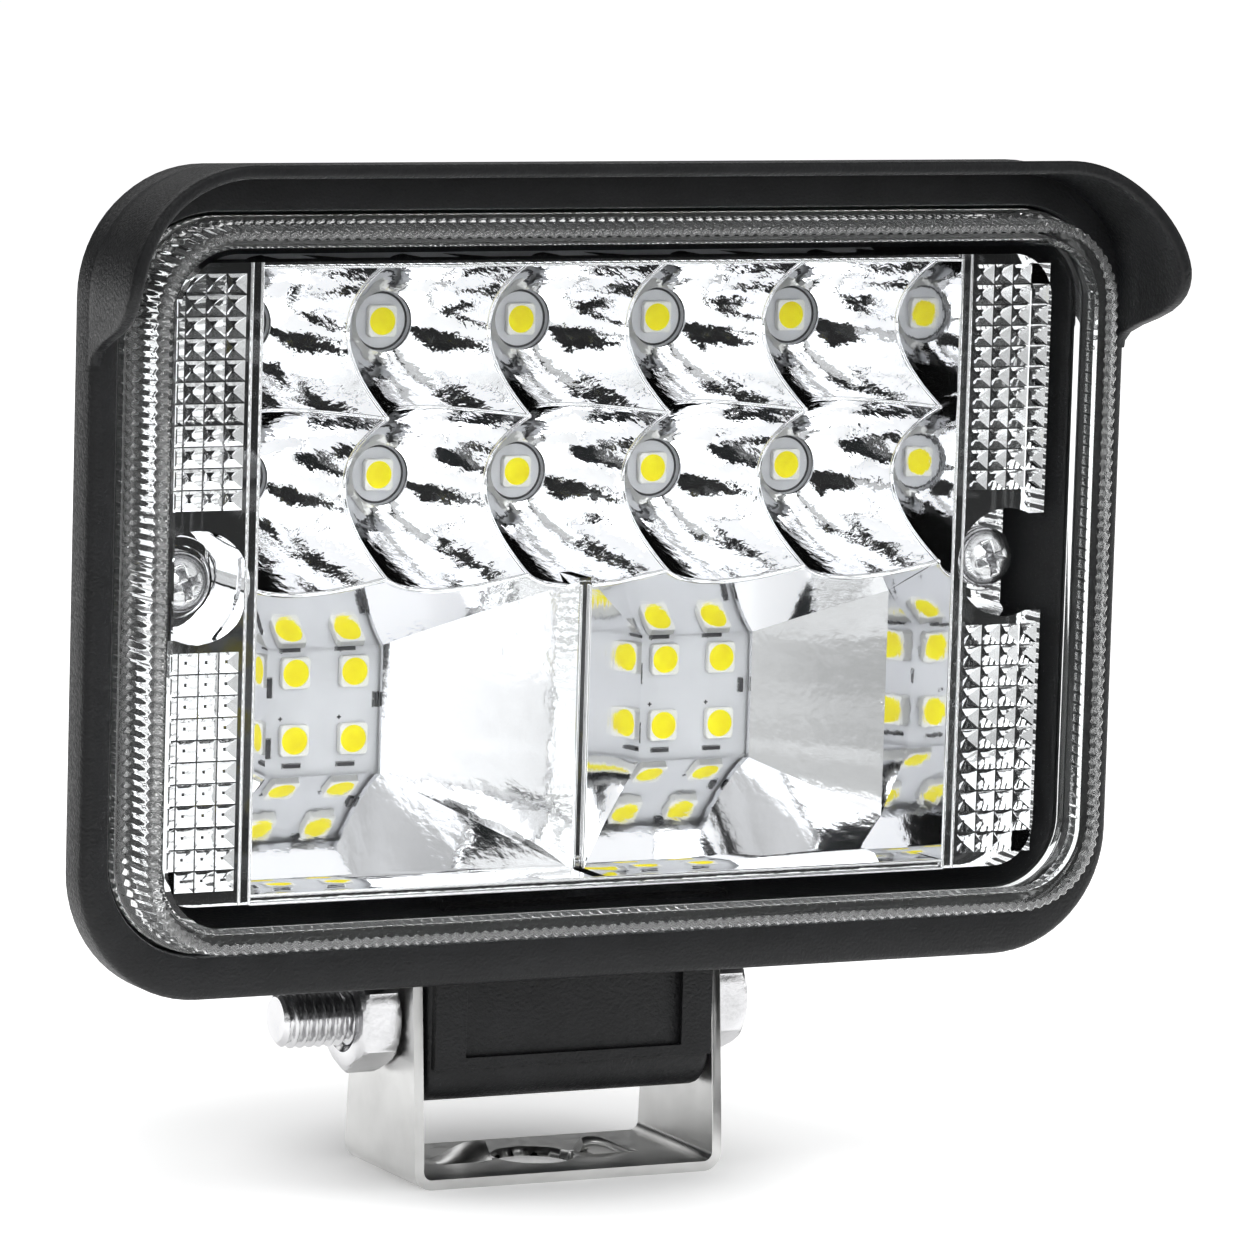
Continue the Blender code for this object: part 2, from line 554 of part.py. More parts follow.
def add_driver_parts():
    """Parts of the constant-current driver, soldered to the board between the two flood cells."""
    front = BOARD_Y[0] - 0.15 * MM
    blocks = (
        ("driver_chip", (-2.5, 2.5), 1.8, (-11.2, -5.4)),
        ("rectifier_diode", (4.2, 8.4), 2.3, (-13.4, -9.8)),
        ("sense_resistor", (-8.2, -5.0), 0.7, (-11.6, -10.0)),
        ("driver_inductor", (-3.0, 3.0), 4.5, (-17.1, -11.6)),
    )
    for name, x, height, z in blocks:
        sides = [v * MM for v in x], (front - height * MM, front), [LAMP_Z + v * MM for v in z]
        on_lamp(piece(name, box(name, *sides), BLACK_PART))
    can, base, tall = 2.0 * MM, 2.2 * MM, 4.5 * MM
    profile = [(0.0, tall), (can - 0.4 * MM, tall), (can, tall - 0.4 * MM), (can, 1.0 * MM),
               (base, 0.8 * MM), (base, 0.0), (0.0, 0.0)]
    spot = Matrix.Translation((-7.0 * MM, front, LAMP_Z - 18.0 * MM))
    place = spot @ Matrix.Rotation(math.pi / 2, 4, 'X')
    capacitor = turned("driver_capacitor", profile, place, sides=16, finish=CAN)
    on_lamp(capacitor)
    capacitor.matrix_world = place


def add_inner_leads():
    """Two short leads from the gland, through the board, to the solder pads on its front."""
    for name, side, finish in (("positive_lead", 1, RED_WIRE), ("negative_lead", -1, BLACK_WIRE)):
        radius = 0.8 * MM
        x0, z0 = GLAND_X + side * 1.3 * MM, LAMP_Z + GLAND_Z
        route = [
            (x0, BACK_Y + 1.2 * MM, z0), (x0, FLOOR_Y + 1.5 * MM, z0), (x0, BOARD_Y[0] - 0.2 * MM, z0),
            (x0 + side * 0.6 * MM, BOARD_Y[0] - 1.5 * MM, z0 - 0.5 * MM),
            (x0 + side * 1.5 * MM, BOARD_Y[0] - 2.0 * MM, z0 - 1.8 * MM),
            (x0 + side * 2.0 * MM, BOARD_Y[0] - 1.7 * MM, z0 - 3.4 * MM),
            (x0 + side * 2.1 * MM, BOARD_Y[0] - 1.1 * MM, z0 - 4.8 * MM),
        ]
        curve = bpy.data.curves.new(name, 'CURVE')
        curve.dimensions = '3D'
        curve.bevel_depth = radius
        curve.bevel_resolution = 1
        curve.use_fill_caps = True
        spline = curve.splines.new('POLY')
        spline.points.add(len(route) - 1)
        for point, place in zip(spline.points, route):
            point.co = (*place, 1.0)
        lead = bpy.data.objects.new(name, curve)
        lamp_parts.objects.link(lead)
        curve.materials.append(material(name + "_finish", *finish))
        on_lamp(lead)


# ---------------------------------------------------------------- back fittings
def add_gland():
    """Empty cable gland: a threaded bush through the back wall with its hexagon outside."""
    start = (GLAND_X, BACK_Y + GAP, LAMP_Z + GLAND_Z)
    hexagon = rod("cable_gland", start, 'Y', 4.0 * MM, 7.2 * MM, sides=6)
    gland = on_lamp(piece("cable_gland", hexagon, BLACK_PART))
    neck = (GLAND_X, FLOOR_Y + 0.3 * MM, start[2])
    join(gland, "gland_neck", rod("gland_neck", neck, 'Y', 6 * MM, GLAND_HOLE - GAP, sides=20))
    dome = (GLAND_X, start[1] + 3.5 * MM, start[2])
    join(gland, "gland_dome", rod("gland_dome", dome, 'Y', 4.8 * MM, 6.0 * MM, 4.6 * MM, sides=20))
    bore = (GLAND_X, FLOOR_Y - 1 * MM, start[2])
    cut(gland, "gland_bore", rod("gland_bore", bore, 'Y', 20 * MM, 2.6 * MM, sides=16))


def add_vent():
    """Breather plug that lets pressure out and keeps water outside."""
    cap = 4.6 * MM
    profile = [
        (0.0, 2.6 * MM), (cap - 0.8 * MM, 2.6 * MM), (cap, 1.8 * MM), (cap, 0.0),
        (VENT_HOLE - GAP, 0.0), (VENT_HOLE - GAP, -4.0 * MM), (0.0, -4.0 * MM),
    ]
    place = along('Y', (VENT_X, BACK_Y + GAP, LAMP_Z + VENT_Z))
    vent = turned("breather_vent", profile, place, sides=20, finish=RUBBER)
    on_lamp(vent)
    vent.matrix_world = place


# ---------------------------------------------------------------- bolt, nut and bracket
def add_bolt():
    """Hexagon-head bolt through the bracket and the lug."""
    head_start = BRACKET_HALF + GAP
    radius = HEX_FLATS / 2 / math.cos(math.pi / 6)
    head = rod("tilt_bolt", (head_start, 0, AXIS_Z), 'X', HEAD_HEIGHT, radius, sides=6)
    bolt = piece("tilt_bolt", head, STEEL)
    shank = rod("bolt_shank", (head_start + 0.5 * MM, 0, AXIS_Z), 'X', -BOLT_LENGTH, BOLT_RADIUS, sides=24)
    join(bolt, "bolt_shank", shank)


def add_nut():
    """Hexagon nut that locks the bolt against the bracket's arm."""
    start = -BRACKET_HALF - GAP
    radius = HEX_FLATS / 2 / math.cos(math.pi / 6)
    nut = piece("lock_nut", rod("lock_nut", (start, 0, AXIS_Z), 'X', -NUT_HEIGHT, radius, sides=6), STEEL)
    bore = rod("nut_bore", (start + 1 * MM, 0, AXIS_Z), 'X', -9 * MM, BOLT_RADIUS + GAP, sides=24)
    cut(nut, "nut_bore", bore)


def bracket_outline():
    """U section in X and Z, outer line then inner line, with rounded bends."""
    bend = 1.8 * MM
    top = AXIS_Z + ARM_TOP
    outer, inner = [], []
    for side in (-1, 1):
        arc_out, arc_in = [], []
        for i in range(5):
            angle = i / 4 * math.pi / 2
            x, z = math.sin(angle), math.cos(angle)
            arc_out.append((side * (BRACKET_HALF - bend + bend * x), bend - bend * z))
            small = bend - SHEET
            arc_in.append((side * (BRACKET_HALF - bend + small * x), bend - small * z))
        outer.append(arc_out + [(side * BRACKET_HALF, top)])
        inner.append(arc_in + [(side * (BRACKET_HALF - SHEET), top)])
    return list(reversed(outer[0])) + outer[1] + list(reversed(inner[1])) + inner[0]


def add_bracket():
    """Sheet-steel U bracket with tapered arms, one fixing hole and two lanced tabs."""
    bm = bmesh.new()
    deep = BRACKET_BASE_HALF
    face = bm.faces.new([bm.verts.new((x, -deep, z)) for x, z in bracket_outline()])
    grown = bmesh.ops.extrude_face_region(bm, geom=[face])
    moved = [item for item in grown["geom"] if isinstance(item, bmesh.types.BMVert)]
    bmesh.ops.translate(bm, vec=(0, 2 * deep, 0), verts=moved)
    top = AXIS_Z + ARM_TOP
    start = 3.0 * MM
    for vert in bm.verts:
        rise = max(vert.co.z - start, 0) / (top - start)
        vert.co.y *= 1 - rise * (1 - BRACKET_TOP_HALF / deep)
    bracket = piece("bracket", mesh_from(bm, "bracket"), SHEET_STEEL)
    wide = 20 * MM
    for side, word in ((-1, "front"), (1, "rear")):
        bm = bmesh.new()
        bmesh.ops.create_cube(bm, size=1.0)
        spin = Matrix.Rotation(math.pi / 4, 4, 'X')
        size = 7 * MM
        away = (ARM_CORNER + size / 2) / math.sqrt(2)
        centre = Matrix.Translation((0, side * away, AXIS_Z + away))
        shape = centre @ spin @ Matrix.Diagonal((2 * wide, size, size, 1))
        bmesh.ops.transform(bm, matrix=shape, verts=bm.verts)
        cut(bracket, "arm_corner_" + word, mesh_from(bm, "arm_corner_" + word))
    hole = rod("arm_hole", (-wide, 0, AXIS_Z), 'X', 2 * wide, BOLT_RADIUS + GAP, sides=24)
    cut(bracket, "arm_hole", hole)
    cut(bracket, "base_hole", rod("base_hole", (0, 0, -1 * MM), 'Z', 4 * MM, BRACKET_HOLE, sides=32))
    for side, word in ((-1, "left"), (1, "right")):
        x = side * TAB_X
        half_x, half_y = TAB_SIZE[0] / 2, TAB_SIZE[1] / 2
        slot = box("slot", (x - half_x, x + half_x), (-half_y, half_y), (-1 * MM, 3 * MM))
        cut(bracket, "tab_slot_" + word, slot)
        add_tab(bracket, word, side)


def add_tab(bracket, word, side):
    """Tongue of the sheet curled up out of its slot, a bite against turning."""
    bm = bmesh.new()
    half_y = TAB_SIZE[1] / 2 - GAP
    root = side * (TAB_X + TAB_SIZE[0] / 2 + 0.6 * MM)
    reach, rise, thick = TAB_SIZE[0] + 0.2 * MM, 2.1 * MM, 0.9 * MM
    line = []
    for i in range(6):
        share = i / 5
        line.append((root - side * reach * share, 0.05 * MM + rise * share ** 1.7))
    loop = line + [(x, z + thick) for x, z in reversed(line)]
    face = bm.faces.new([bm.verts.new((x, -half_y, z)) for x, z in loop])
    grown = bmesh.ops.extrude_face_region(bm, geom=[face])
    moved = [item for item in grown["geom"] if isinstance(item, bmesh.types.BMVert)]
    bmesh.ops.translate(bm, vec=(0, 2 * half_y, 0), verts=moved)
    join(bracket, "tab_" + word, mesh_from(bm, "tab_" + word))


# ---------------------------------------------------------------- build
add_housing()
add_lens()
add_seal()
add_reflector()
add_board()
add_leds()
for side_sign, side_word in ((-1, "left"), (1, "right")):
    add_screw("reflector_screw_" + side_word, side_sign * SCREW_X, SCREW_Z, POCKET_FLOOR - GAP, 9.5 * MM)
for number, (screw_x, screw_z) in enumerate(BOARD_SCREWS):
    add_screw("board_screw_%d" % (number + 1), screw_x, screw_z, BOARD_Y[0] - GAP, 5.2 * MM,
              head_radius=2.4 * MM, head=1.6 * MM, radius=1.25 * MM)
add_driver_parts()
add_inner_leads()
add_gland()
add_vent()
add_bolt()
add_nut()
add_bracket()
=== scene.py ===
"""Looks of the LED work light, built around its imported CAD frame.

Lengths in this script are millimetres in the frame's axes: X along the tilt bolt, -Y the way the
lamp shines, Z up from the bracket's underside.  They become metres where a mesh is made.
"""
import json
from math import acos, atan2, cos, degrees, hypot, pi, radians, sin, sqrt

import bmesh
import bpy
import numpy as np
from mathutils import Matrix, Vector


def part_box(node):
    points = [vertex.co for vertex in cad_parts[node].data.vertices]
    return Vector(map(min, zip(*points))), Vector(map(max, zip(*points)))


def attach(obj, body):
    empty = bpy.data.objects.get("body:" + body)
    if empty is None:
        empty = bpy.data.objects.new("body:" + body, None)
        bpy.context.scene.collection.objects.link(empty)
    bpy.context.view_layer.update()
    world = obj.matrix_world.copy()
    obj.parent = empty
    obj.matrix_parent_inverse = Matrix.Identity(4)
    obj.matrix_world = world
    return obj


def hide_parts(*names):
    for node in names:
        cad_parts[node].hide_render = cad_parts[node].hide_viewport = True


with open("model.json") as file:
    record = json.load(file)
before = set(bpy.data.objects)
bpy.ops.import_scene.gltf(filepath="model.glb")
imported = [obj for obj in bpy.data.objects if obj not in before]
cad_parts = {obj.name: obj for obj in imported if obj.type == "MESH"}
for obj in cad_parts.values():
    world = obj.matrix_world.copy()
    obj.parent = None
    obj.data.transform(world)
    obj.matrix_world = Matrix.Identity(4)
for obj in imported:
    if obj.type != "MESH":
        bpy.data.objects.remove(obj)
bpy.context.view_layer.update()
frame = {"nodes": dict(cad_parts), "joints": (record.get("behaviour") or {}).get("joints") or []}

MM = 0.001
LAMP_Z = 60.95                       # middle of the lamp face
AXIS_Z = 1000 * frame["joints"][0]["pos_m"][2]
LAMP = "lamp"
MOUNT = "mount"


def box_mm(node):
    """Lowest and highest corner of a CAD node in millimetres."""
    low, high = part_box(node)
    return np.array(low) * 1000, np.array(high) * 1000


# ---- camera
AZIMUTH, ELEVATION, ROLL = (radians(v) for v in (-26.496, 7.486, 1.678))
TARGET = Vector((0.0084, -0.0002, 0.0537))
DISTANCE, FOCAL_LENGTH, SENSOR_WIDTH = 0.7398, 216, 36


def add_camera():
    """Long-lens camera in front of the lamp, to its -X side and a little above it."""
    right = Vector((cos(AZIMUTH), sin(AZIMUTH), 0))
    back = Vector((sin(AZIMUTH) * cos(ELEVATION), -cos(AZIMUTH) * cos(ELEVATION),
                   sin(ELEVATION)))
    up = back.cross(right)
    rolled_right = right * cos(ROLL) + up * sin(ROLL)
    rolled_up = up * cos(ROLL) - right * sin(ROLL)
    turn = Matrix((rolled_right, rolled_up, back)).transposed().to_4x4()
    data = bpy.data.cameras.new("camera")
    data.lens, data.sensor_width = FOCAL_LENGTH, SENSOR_WIDTH
    data.clip_start, data.clip_end = 0.01, 50
    camera = bpy.data.objects.new("camera", data)
    camera.matrix_world = Matrix.Translation(TARGET + back * DISTANCE) @ turn
    bpy.context.scene.collection.objects.link(camera)
    bpy.context.scene.camera = camera


add_camera()


# ---- materials
BUMP_DEPTH = 0.1


def new_material(name, colour, roughness, metallic=0.0, **sockets):
    """Principled material; sockets holds further values by socket name with _ for spaces."""
    mat = bpy.data.materials.new(name)
    mat.use_nodes = True
    shader = mat.node_tree.nodes["Principled BSDF"]
    shader.inputs["Base Color"].default_value = (*colour, 1)
    shader.inputs["Roughness"].default_value = roughness
    shader.inputs["Metallic"].default_value = metallic
    for socket, value in sockets.items():
        shader.inputs[socket.replace("_", " ")].default_value = value
    return mat


def noise(mat, scale, detail=4.0):
    """Noise over object space; scale is cells per millimetre."""
    nodes = mat.node_tree.nodes
    field = nodes.new("ShaderNodeTexNoise")
    field.inputs["Scale"].default_value = scale * 1000
    field.inputs["Detail"].default_value = detail
    mat.node_tree.links.new(nodes.new("ShaderNodeTexCoord").outputs["Object"], field.inputs["Vector"])
    return field.outputs["Fac"]


def ramp(mat, source, stops):
    """Colour ramp of (place, colour) stops; a single number means grey."""
    node = mat.node_tree.nodes.new("ShaderNodeValToRGB")
    points = node.color_ramp.elements
    while len(points) < len(stops):
        points.new(0.5)
    for point, (place, value) in zip(points, stops):
        colour = (value,) * 3 if isinstance(value, float) else value
        point.position = place
        point.color = (*colour, 1)
    mat.node_tree.links.new(source, node.inputs["Fac"])
    return node.outputs["Color"]


def feed(mat, socket, source):
    """Link a node's output to the shader."""
    mat.node_tree.links.new(source, mat.node_tree.nodes["Principled BSDF"].inputs[socket])


def bump(mat, source, strength):
    """Fine relief, at full strength BUMP_DEPTH deep."""
    node = mat.node_tree.nodes.new("ShaderNodeBump")
    node.inputs["Strength"].default_value = strength
    node.inputs["Distance"].default_value = BUMP_DEPTH * MM
    mat.node_tree.links.new(source, node.inputs["Height"])
    feed(mat, "Normal", node.outputs["Normal"])


def grained(name, colour, roughness, metallic, scale, relief, spread=0.12, **sockets):
    """Material with grain in its colour, roughness and relief; scale is grains per millimetre."""
    mat = new_material(name, colour, roughness, metallic, **sockets)
    fine, broad = noise(mat, scale, 3.0), noise(mat, scale / 14, 3.0)
    dark = tuple(c * (1 - spread) for c in colour)
    light = tuple(min(c * (1 + spread), 1.0) for c in colour)
    feed(mat, "Base Color", ramp(mat, broad, [(0.3, dark), (0.7, light)]))
    smooth, rough = roughness * (1 - spread), min(roughness * (1 + spread), 1.0)
    feed(mat, "Roughness", ramp(mat, fine, [(0.3, smooth), (0.7, rough)]))
    bump(mat, fine, relief)
    return mat


def clear_plastic(name, clearness=1.0):
    """Clear polycarbonate that lets lamp light through to what is behind it."""
    mat = new_material(name, (0.97, 0.98, 0.98), 0.02, IOR=1.5, Transmission_Weight=clearness,
                       Specular_IOR_Level=0.3)
    nodes, links = mat.node_tree.nodes, mat.node_tree.links
    feed(mat, "Roughness", ramp(mat, noise(mat, 0.2), [(0.35, 0.0), (0.8, 0.03)]))
    path = nodes.new("ShaderNodeLightPath")
    through = nodes.new("ShaderNodeBsdfTransparent")
    through.inputs["Color"].default_value = (0.93, 0.94, 0.94, 1)
    mix = nodes.new("ShaderNodeMixShader")
    links.new(path.outputs["Is Shadow Ray"], mix.inputs["Fac"])
    links.new(nodes["Principled BSDF"].outputs["BSDF"], mix.inputs[1])
    links.new(through.outputs["BSDF"], mix.inputs[2])
    links.new(mix.outputs["Shader"], nodes["Material Output"].inputs["Surface"])
    return mat


POWDER = grained("powder_coat", (0.0065, 0.0068, 0.0075), 0.44, 0.0, 3.2, 1.0, 0.25,
                Specular_IOR_Level=0.3)
SHADE = grained("powder_coat_inside", (0.005, 0.005, 0.006), 0.6, 0.0, 5.0, 0.35, 0.2)
CLEAR = clear_plastic("clear_polycarbonate")
WALL = clear_plastic("fluted_polycarbonate", 0.93)
CUPS = grained("mirror_coat_cups", (0.95, 0.95, 0.96), 0.03, 1.0, 0.45, 0.75, 0.03)
CHROME = grained("mirror_coat", (0.95, 0.95, 0.96), 0.04, 1.0, 0.5, 0.12, 0.03)
FACET = grained("mirror_coat_facets", (0.95, 0.95, 0.96), 0.03, 1.0, 0.8, 0.06, 0.03)
BOARD = grained("board_mask", (0.70, 0.71, 0.74), 0.38, 0.0, 3.0, 0.08, 0.06)
MARK = grained("board_component", (0.05, 0.05, 0.055), 0.4, 0.0, 4.0, 0.1)
SOLDER = grained("solder", (0.72, 0.73, 0.74), 0.25, 1.0, 3.0, 0.2)
PACKAGE = grained("led_package", (0.86, 0.86, 0.83), 0.4, 0.0, 4.0, 0.05, 0.04)
PHOSPHOR = grained("led_phosphor", (1.0, 0.84, 0.0), 0.45, 0.0, 9.0, 0.15, 0.08)
ZINC = grained("zinc_plate", (0.66, 0.66, 0.67), 0.22, 1.0, 2.4, 0.12, 0.16)
SATIN = grained("satin_sheet", (0.72, 0.72, 0.71), 0.33, 1.0, 0.9, 0.1, 0.16)
RUBBER = grained("black_rubber", (0.013, 0.013, 0.013), 0.7, 0.0, 4.0, 0.2, 0.2)
NYLON = grained("black_nylon", (0.02, 0.02, 0.021), 0.42, 0.0, 3.0, 0.15, 0.2)
PAD = grained("heat_pad", (0.42, 0.5, 0.6), 0.8, 0.0, 2.0, 0.3, 0.1)
CAN = grained("capacitor_can", (0.78, 0.78, 0.8), 0.28, 1.0, 3.0, 0.1, 0.06)
RED = grained("red_insulation", (0.45, 0.02, 0.02), 0.5, 0.0, 4.0, 0.1, 0.1)
BLACK = grained("black_insulation", (0.02, 0.02, 0.02), 0.5, 0.0, 4.0, 0.1, 0.1)


# ---- mesh building
MERGE, BEVEL_ANGLE = 0.0005, 35


class Shape:
    """Collects vertices in millimetres and faces, then becomes one object."""

    def __init__(self):
        self.points = []
        self.faces = []
        self.slots = []

    def add(self, points):
        """Add points and return the number of the first."""
        first = len(self.points)
        self.points.extend([tuple(p) for p in points])
        return first

    def face(self, corners, slot=0):
        """Add a face by the numbers of its corners."""
        self.faces.append(tuple(corners))
        self.slots.append(slot)

    def cap(self, points, slot=0):
        """One flat face through points."""
        first = self.add(points)
        self.face(range(first, first + len(points)), slot)

    def grid(self, rows, wrap=False, slot=0):
        """Quads between successive rows of points; wrap closes each row on itself."""
        count = len(rows[0])
        starts = [self.add(row) for row in rows]
        for a, b in zip(starts, starts[1:]):
            for i in range(count if wrap else count - 1):
                j = (i + 1) % count
                self.face((a + i, a + j, b + j, b + i), slot)
        return starts

    def tube(self, rings, slot=0):
        """Closed solid through rings of points, with flat ends."""
        starts = self.grid(rings, True, slot)
        count = len(rings[0])
        self.face([starts[0] + i for i in reversed(range(count))], slot)
        self.face([starts[-1] + i for i in range(count)], slot)

    def closed_loop(self, rings, slot=0):
        """Ring-shaped solid: the last ring joins the first."""
        starts = self.grid(rings, True, slot)
        count = len(rings[0])
        for i in range(count):
            j = (i + 1) % count
            self.face((starts[-1] + i, starts[-1] + j, starts[0] + j, starts[0] + i), slot)

    def block(self, x, y, z, slot=0):
        """Box between the pairs x, y and z."""
        low = [(x[0], y[0], z[0]), (x[1], y[0], z[0]), (x[1], y[1], z[0]), (x[0], y[1], z[0])]
        high = [(px, py, z[1]) for px, py, _ in low]
        self.tube([low, high], slot)

    def build(self, name, materials, angle=32, bevel=0.0, segments=2):
        """Make the object: touching points merged, edges that turn by more than angle kept sharp."""
        mesh = bpy.data.meshes.new(name)
        mesh.from_pydata([(x * MM, y * MM, z * MM) for x, y, z in self.points], [], self.faces)
        for polygon, slot in zip(mesh.polygons, self.slots):
            polygon.material_index = slot
        bm = bmesh.new()
        bm.from_mesh(mesh)
        bmesh.ops.remove_doubles(bm, verts=bm.verts, dist=MERGE * MM)
        bmesh.ops.recalc_face_normals(bm, faces=bm.faces)
        limit = radians(angle)
        for face in bm.faces:
            face.smooth = True
        for edge in bm.edges:
            turn = edge.calc_face_angle(None) if len(edge.link_faces) == 2 else None
            flat_cap = any(len(face.verts) > 8 for face in edge.link_faces)
            edge.smooth = turn is not None and turn < limit and not flat_cap
        bm.to_mesh(mesh)
        bm.free()
        for mat in materials:
            mesh.materials.append(mat)
        obj = bpy.data.objects.new(name, mesh)
        bpy.context.scene.collection.objects.link(obj)
        if bevel:
            soften(obj, bevel, segments, BEVEL_ANGLE)
            obj.modifiers["edges"].harden_normals = True
        return obj

    def piece(self, name, materials, angle, body, nodes=(), bevel=0.0, segments=2):
        """Build the shape as a finished piece of a body."""
        finish_piece(self.build(name, materials, angle, bevel, segments), body, nodes)


def arc(centre, radius, start, end, steps):
    """Points of an arc, angles in degrees."""
    angles = [radians(start + (end - start) * i / steps) for i in range(steps + 1)]
    return [(centre[0] + radius * cos(a), centre[1] + radius * sin(a)) for a in angles]


def line_between(a, b, steps):
    """Evenly spaced points from a to b."""
    return [tuple(p + (q - p) * i / steps for p, q in zip(a, b)) for i in range(steps + 1)]


def outline(half_w, half_h, radius, corner=10, side_x=1, side_z=1):
    """Rounded rectangle as (x, z) points, the same number for every size, round from the upper right."""
    corners = [arc((sx * (half_w - radius), sz * (half_h - radius)), radius, start, start + 90, corner)
               for sx, sz, start in ((1, 1, 0), (-1, 1, 90), (-1, -1, 180), (1, -1, 270))]
    points = []
    for k, bend in enumerate(corners):
        points += bend + line_between(bend[-1], corners[(k + 1) % 4][0], side_z if k % 2 else side_x)[1:-1]
    return points


def at_depth(points, y):
    """Points of the lamp's face plane moved to a depth."""
    return [(x, y, LAMP_Z + z) for x, z in points]


def shrink(size, by):
    """Half width, half height and corner radius of an outline pulled in by a distance."""
    return tuple(value - by for value in size)


def finish_piece(obj, body, nodes=()):
    """Tie a finished piece to its body and hide the CAD nodes it stands for."""
    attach(obj, body)
    if nodes:
        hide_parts(*nodes)


def soften(obj, width, segments, angle):
    """Round the edges that turn by more than an angle in degrees."""
    edges = obj.modifiers.new("edges", 'BEVEL')
    edges.width, edges.segments = width * MM, segments
    edges.limit_method, edges.angle_limit = 'ANGLE', radians(angle)


def apply_boolean(obj, cutters):
    """Cut closed solids out of obj and keep the resulting mesh."""
    for cutter in cutters:
        change = obj.modifiers.new(cutter.name, 'BOOLEAN')
        change.object = cutter
        change.solver = 'EXACT'
    graph = bpy.context.evaluated_depsgraph_get()
    mesh = bpy.data.meshes.new_from_object(obj.evaluated_get(graph))
    obj.modifiers.clear()
    obj.data = mesh
    for cutter in cutters:
        bpy.data.objects.remove(cutter)


def lathe(profile, axis_point, axis, sides=48, radius_of=None):
    """Rings of a turned shape; profile is (radius, distance along axis). radius_of may vary it by angle."""
    rings = []
    for radius, along in profile:
        ring = []
        for i in range(sides):
            angle = 2 * pi * i / sides
            r = radius_of(radius, along, angle) if radius_of else radius
            a, b = r * cos(angle), r * sin(angle)
            x, y, z = axis_point
            ring.append({'X': (x + along, y + a, z + b), 'Y': (x + a, y + along, z - b),
                         'Z': (x + a, y + b, z + along)}[axis])
        rings.append(ring)
    return rings


# ---- housing: outlines are half width, half height and corner radius
RIM = (55.2, 39.45, 12.3)
BODY_FRONT = (52.9, 36.9, 10.5)
BODY_BACK = (42.0, 33.6, 8.0)
SEAT = (52.5, 35.2, 9.6)
CAVITY_FRONT = (49.9, 33.3, 7.6)
CAVITY_BACK = (41.4, 31.4, 5.6)
RIM_FRONT, RIM_BACK, SEAT_Y, FLOOR_Y, BACK_Y = -15.6, -10.9, -12.6, 11.7, 15.7
FIN_BACK = 24.4
VISOR_FRONT, VISOR_WALL, VISOR_FLARE = -27.0, 1.3, 1.0


def add_housing():
    """Die-cast shell: cavity, seat, rounded rim and tapering body as one closed skin."""
    stack = [(CAVITY_BACK, 1.2, FLOOR_Y), (CAVITY_BACK, 0.3, FLOOR_Y - 0.3), (CAVITY_BACK, 0, FLOOR_Y - 1.2),
             (CAVITY_FRONT, 0, SEAT_Y + 0.3), (CAVITY_FRONT, -0.3, SEAT_Y),
             (SEAT, 0.2, SEAT_Y), (SEAT, 0, SEAT_Y - 0.2), (SEAT, 0, RIM_FRONT + 0.35),
             (SEAT, -0.12, RIM_FRONT + 0.1), (SEAT, -0.4, RIM_FRONT), (RIM, 0.9, RIM_FRONT),
             (RIM, 0.45, RIM_FRONT + 0.12), (RIM, 0.13, RIM_FRONT + 0.42), (RIM, 0, RIM_FRONT + 0.9),
             (RIM, 0, RIM_BACK - 0.8), (RIM, 0.15, RIM_BACK - 0.35), (RIM, 0.5, RIM_BACK),
             (BODY_FRONT, -0.5, RIM_BACK + 0.05),
             (BODY_FRONT, 0, RIM_BACK + 0.5), (BODY_BACK, 0, BACK_Y - 2.0), (BODY_BACK, 0.3, BACK_Y - 0.9),
             (BODY_BACK, 1.0, BACK_Y - 0.2), (BODY_BACK, 2.0, BACK_Y)]
    shape = Shape()
    shape.tube([at_depth(outline(*shrink(size, inset), 16), y) for size, inset, y in stack])
    shape.piece("housing_shell", [POWDER], 40, LAMP, ["housing"])


def visor_edge(share):
    """Front edge of a cheek, from the rim (0) to its foremost point (1), as (y, height)."""
    points = ((-15.6, 21.2), (-16.0, 24.4), (-26.4, 23.6), (VISOR_FRONT, 29.6))
    weights = ((1 - share) ** 3, 3 * share * (1 - share) ** 2, 3 * share ** 2 * (1 - share), share ** 3)
    return tuple(sum(w * p[k] for w, p in zip(weights, points)) for k in (0, 1))


def visor_front(height):
    """Depth of the visor's front edge at a height; above the cheeks it leans back to the top."""
    edge = [visor_edge(i / 200) for i in range(201)]
    if height > edge[-1][1]:
        share = (height - edge[-1][1]) / (RIM[1] - edge[-1][1])
        return VISOR_FRONT + 1.8 * (3 * share ** 2 - 2 * share ** 3)
    return float(np.interp(height, [z for _, z in edge], [y for y, _ in edge]))


